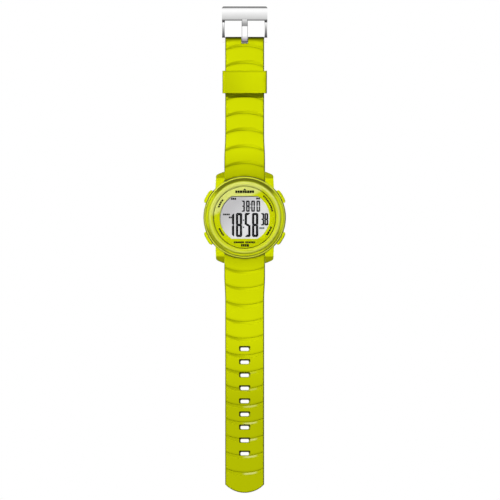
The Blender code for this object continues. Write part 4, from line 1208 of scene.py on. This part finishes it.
def make_display():
    """The display: its film and the digits of the time, the seconds and a timer."""
    outline = clipped_circle(13.3, LCD_HIGH.y, 96)
    film = prism("lcd_film", [outline], LCD_LOW.z, LCD_HIGH.z)
    piece(shaded(film), "case", LCD_LOOK, ["lcd_panel"])
    outlines = []
    for text, xs, (bottom, top), stroke in DIGITS:
        for index, value in enumerate(text):
            left, right = xs[2 * index:2 * index + 2]
            outlines += digit(value, left, right, bottom, top, stroke)
    outlines += [dot(x, y, size) for x, y, size in COLONS]
    marks("lcd_digits", outlines, LCD_HIGH.z, SEGMENT_LOOK)
    small = []
    for row in DISPLAY_ROWS:
        small += block_row(*row)
    marks("lcd_small_marks", small, LCD_HIGH.z, SEGMENT_LOOK)
    pale = block_row(7.6, 10.2, -5.55, 0.9, [1, 1, 1])
    marks("lcd_pale_marks", pale, LCD_HIGH.z, PALE_INK_LOOK)


# ---------------------------------------------------------------- buckle


def make_buckle_bar():
    """The buckle's bar: a curved plate, thin at its far edge."""
    near = 102.2
    end = FRAME_HIGH.y
    top = [(near, 3.55), (near + 0.15, 3.78), (103.0, 3.88), (104.0, 3.93), (105.0, 3.86),
           (106.0, 3.6), (107.0, 3.12), (108.0, 2.45), (108.8, 1.7), (109.4, 0.95), (end, 0.45)]
    under = [(end - 0.2, 0.15), (108.9, 0.2), (108.0, 1.1), (107.0, 1.75), (106.0, 2.15),
             (105.0, 2.38), (104.0, 2.42), (near, 2.3)]
    bar = prism("buckle_bar", [top + under], -FRAME_HIGH.x, FRAME_HIGH.x, SIDE_ON)
    half = FRAME_HIGH.x
    corner = 1.0
    right = [(half, 100)] + arc((half - corner, end - corner), corner, 0, 90, 6)
    plan = right + [(-x, y) for x, y in reversed(right)]
    bar = boolean(bar, prism("bar_plan", [plan], -1, 6), "INTERSECT")
    bar = shaded(bevelled(bar, 0.12, 2, 50), 30)
    piece(bar, "buckle", BAR_LOOK, ["buckle_frame"])


def leg_radii(share):
    """A leg's radii across and up: it narrows towards its middle."""
    return 0.58 + 0.22 * (2 * share - 1) ** 2, 0.98


def make_buckle_legs():
    """The two legs, which narrow between the bar and the lugs that hold the pin."""
    start = 92.9
    end = 102.9
    for name, side in SIDES.items():
        path = []
        for i in range(25):
            share = i / 24
            bow = math.sin(math.pi * share)
            y = start + (end - start) * share
            path.append((side * (LEG_X + 0.06 * bow), y, PIN_Z + 0.25 * bow))
        leg = swept("buckle_leg_" + name, path, leg_radii, 24)
        piece(shaded(leg, 60), "buckle", LEG_LOOK)
        plan = rounded_rectangle((side * 10.97, PIN_Y), 0.8, 1.22, 0.25)
        lug = prism("buckle_lug_" + name, [plan], 1.42, 3.9)
        piece(shaded(bevelled(lug, 0.3, 4)), "buckle", LEG_LOOK)
        corner = rounded_rectangle((side * 11.0, 102.0), 0.72, 0.55, 0.2)
        block = prism("buckle_corner_" + name, [corner], 1.6, 3.6)
        piece(shaded(bevelled(block, 0.15, 2)), "buckle", LEG_LOOK)


def make_tongue():
    """The tongue: a hub on the pin and a bar that bends down to its tip."""
    hub = arc((PIN_Y, PIN_Z), 1.35, -30, -270, 30)
    top = [(93.7, 4.06), (94.6, 4.3), (95.6, 4.55), (96.6, 4.74), (97.6, 4.86), (99.2, 4.95),
           (99.5, 4.88), (101.2, 4.68), (102.6, 4.5)]
    under = [(102.88, 4.3), (102.8, 4.17), (101.6, 4.06), (98.6, 3.6), (94.2, 2.5)]
    tongue = prism("tongue_bar", [hub + top + under], TONGUE_LOW.x, TONGUE_HIGH.x, SIDE_ON)
    tongue = bevelled(tongue, 0.22, 3, 55)
    tongue = shaded(boolean(tongue, bore(PIN_Y, PIN_Z, PIN_RADIUS + 0.06, -3, 3)), 35)
    piece(tongue, "tongue", TONGUE_LOOK, ["buckle_tongue"])


# ---------------------------------------------------------------- carried-over nodes, stage


def finish_nodes():
    """Give each CAD node that stays its slot's look."""
    for entry in frame["record"]["subparts"]:
        look = SLOT_LOOKS.get(entry["material_slot"])
        if look is None:
            continue
        node = frame["nodes"][entry["node"]]
        if not node.data.materials:
            node.data.materials.append(look)
        for slot in node.material_slots:
            slot.material = look


def make_world():
    """A soft studio sky: even overhead and dark at the horizon, brighter in reflections, and
    white where the camera looks past the floor."""
    world = bpy.data.worlds.new("studio")
    bpy.context.scene.world = world
    world.use_nodes = True
    nodes = Nodes(world.node_tree)
    place = nodes.add("TexCoord").outputs["Generated"]
    up = nodes.add("SeparateXYZ", [("Vector", place)]).outputs["Z"]
    rays = nodes.add("LightPath").outputs

    def sky(stops):
        """Light by a direction's height, from -1 straight down to 1 straight up."""
        rise = nodes.remap(up, -1.0, 1.0, 0.0, 1.0)
        return nodes.ramp(rise, [((height + 1) / 2, grey(light)) for height, light in stops])

    soft = sky([(-0.9, 0.5), (-0.4, 0.1), (0.0, 0.03), (0.45, SKY_LIGHT * 0.6), (0.9, SKY_LIGHT)])
    shine = sky([(-0.9, 0.6), (-0.45, 0.3), (-0.3, 0.4), (-0.1, 1.0), (0.4, 1.06)])
    light = nodes.mix(rays["Is Glossy Ray"], soft, shine)
    light = nodes.mix(rays["Is Camera Ray"], light, grey(1.0))
    nodes.tree.links.new(light, nodes.tree.nodes["Background"].inputs["Color"])


def make_sun(name, direction, energy, lit, blocking):
    """A key light from a direction, which lights some pieces and is blocked by some."""
    light = bpy.data.lights.new(name, "SUN")
    light.energy = energy
    light.angle = math.radians(SUN_ANGLE)
    sun = linked(name, light)
    sun.rotation_mode = "QUATERNION"
    sun.rotation_quaternion = Vector(direction).to_track_quat("Z", "Y")
    sun.visible_glossy = False
    sun.light_linking.receiver_collection = grouped(name + "_lit", lit)
    sun.light_linking.blocker_collection = grouped(name + "_blocking", blocking)


def grouped(name, objects):
    """A collection of objects, used only to say what a light reaches."""
    group = bpy.data.collections.new(name)
    for obj in objects:
        group.objects.link(obj)
    return group


def make_lights():
    """A key light for each stretch of the watch, as a row of studio lamps beside it gives."""
    shown = [o for o in bpy.context.scene.objects if o.type == "MESH" and o.name != "floor"]
    top = [o for o in shown if o.name.startswith(("buckle_", "keeper_", "tongue_"))]
    tail = [o for o in shown if o.name.startswith("tail_half")]
    rest = [o for o in shown if o not in top and o not in tail]
    open_case = [o for o in rest if not o.name.startswith(("bezel_", "lens_", "case_barrel"))]
    make_sun("key_top", (-0.42, 0.44, 0.80), 3.14, top, top)
    make_sun("key_case", (-0.25, 0.30, 0.90), 2.62, rest, open_case)
    make_sun("key_tail", (-0.45, 0.02, 0.85), 2.80, tail, tail)


def make_floor():
    """A plain white sweep well below the watch, seen by the camera and lighting nothing."""
    bpy.ops.mesh.primitive_plane_add(size=6, location=(0, 0, -0.16))
    floor = bpy.context.object
    floor.name = "floor"
    material = bpy.data.materials.new("paper_white")
    material.use_nodes = True
    tree = material.node_tree
    tree.nodes.remove(tree.nodes["Principled BSDF"])
    glow = tree.nodes.new("ShaderNodeEmission")
    glow.inputs["Strength"].default_value = 1.0
    tree.links.new(glow.outputs["Emission"], tree.nodes["Material Output"].inputs["Surface"])
    floor.data.materials.append(material)
    floor.visible_diffuse = False
    floor.visible_glossy = False
    floor.visible_shadow = False


def make_camera():
    """A long lens straight above the watch, with the buckle at the top of the frame."""
    camera = bpy.data.cameras.new("camera")
    camera.lens = LENS_LENGTH
    camera.sensor_width = SENSOR_WIDTH
    eye = linked("camera", camera)
    height = FIELD * LENS_LENGTH / SENSOR_WIDTH
    eye.location = (AIM[0] * MM, AIM[1] * MM, (AIM[2] + height) * MM)
    eye.rotation_euler = (0, 0, 0)
    bpy.context.scene.camera = eye


make_barrel()
make_lugs()
make_bezel()
make_lens()
make_buttons()
make_caseback()
make_dial()
make_dial_print()
make_display()
make_buckle_half()
make_tail_half()
make_keeper()
make_buckle_bar()
make_buckle_legs()
make_tongue()
finish_nodes()
make_world()
make_floor()
make_lights()
make_camera()
bpy.context.scene.view_settings.view_transform = "Standard"
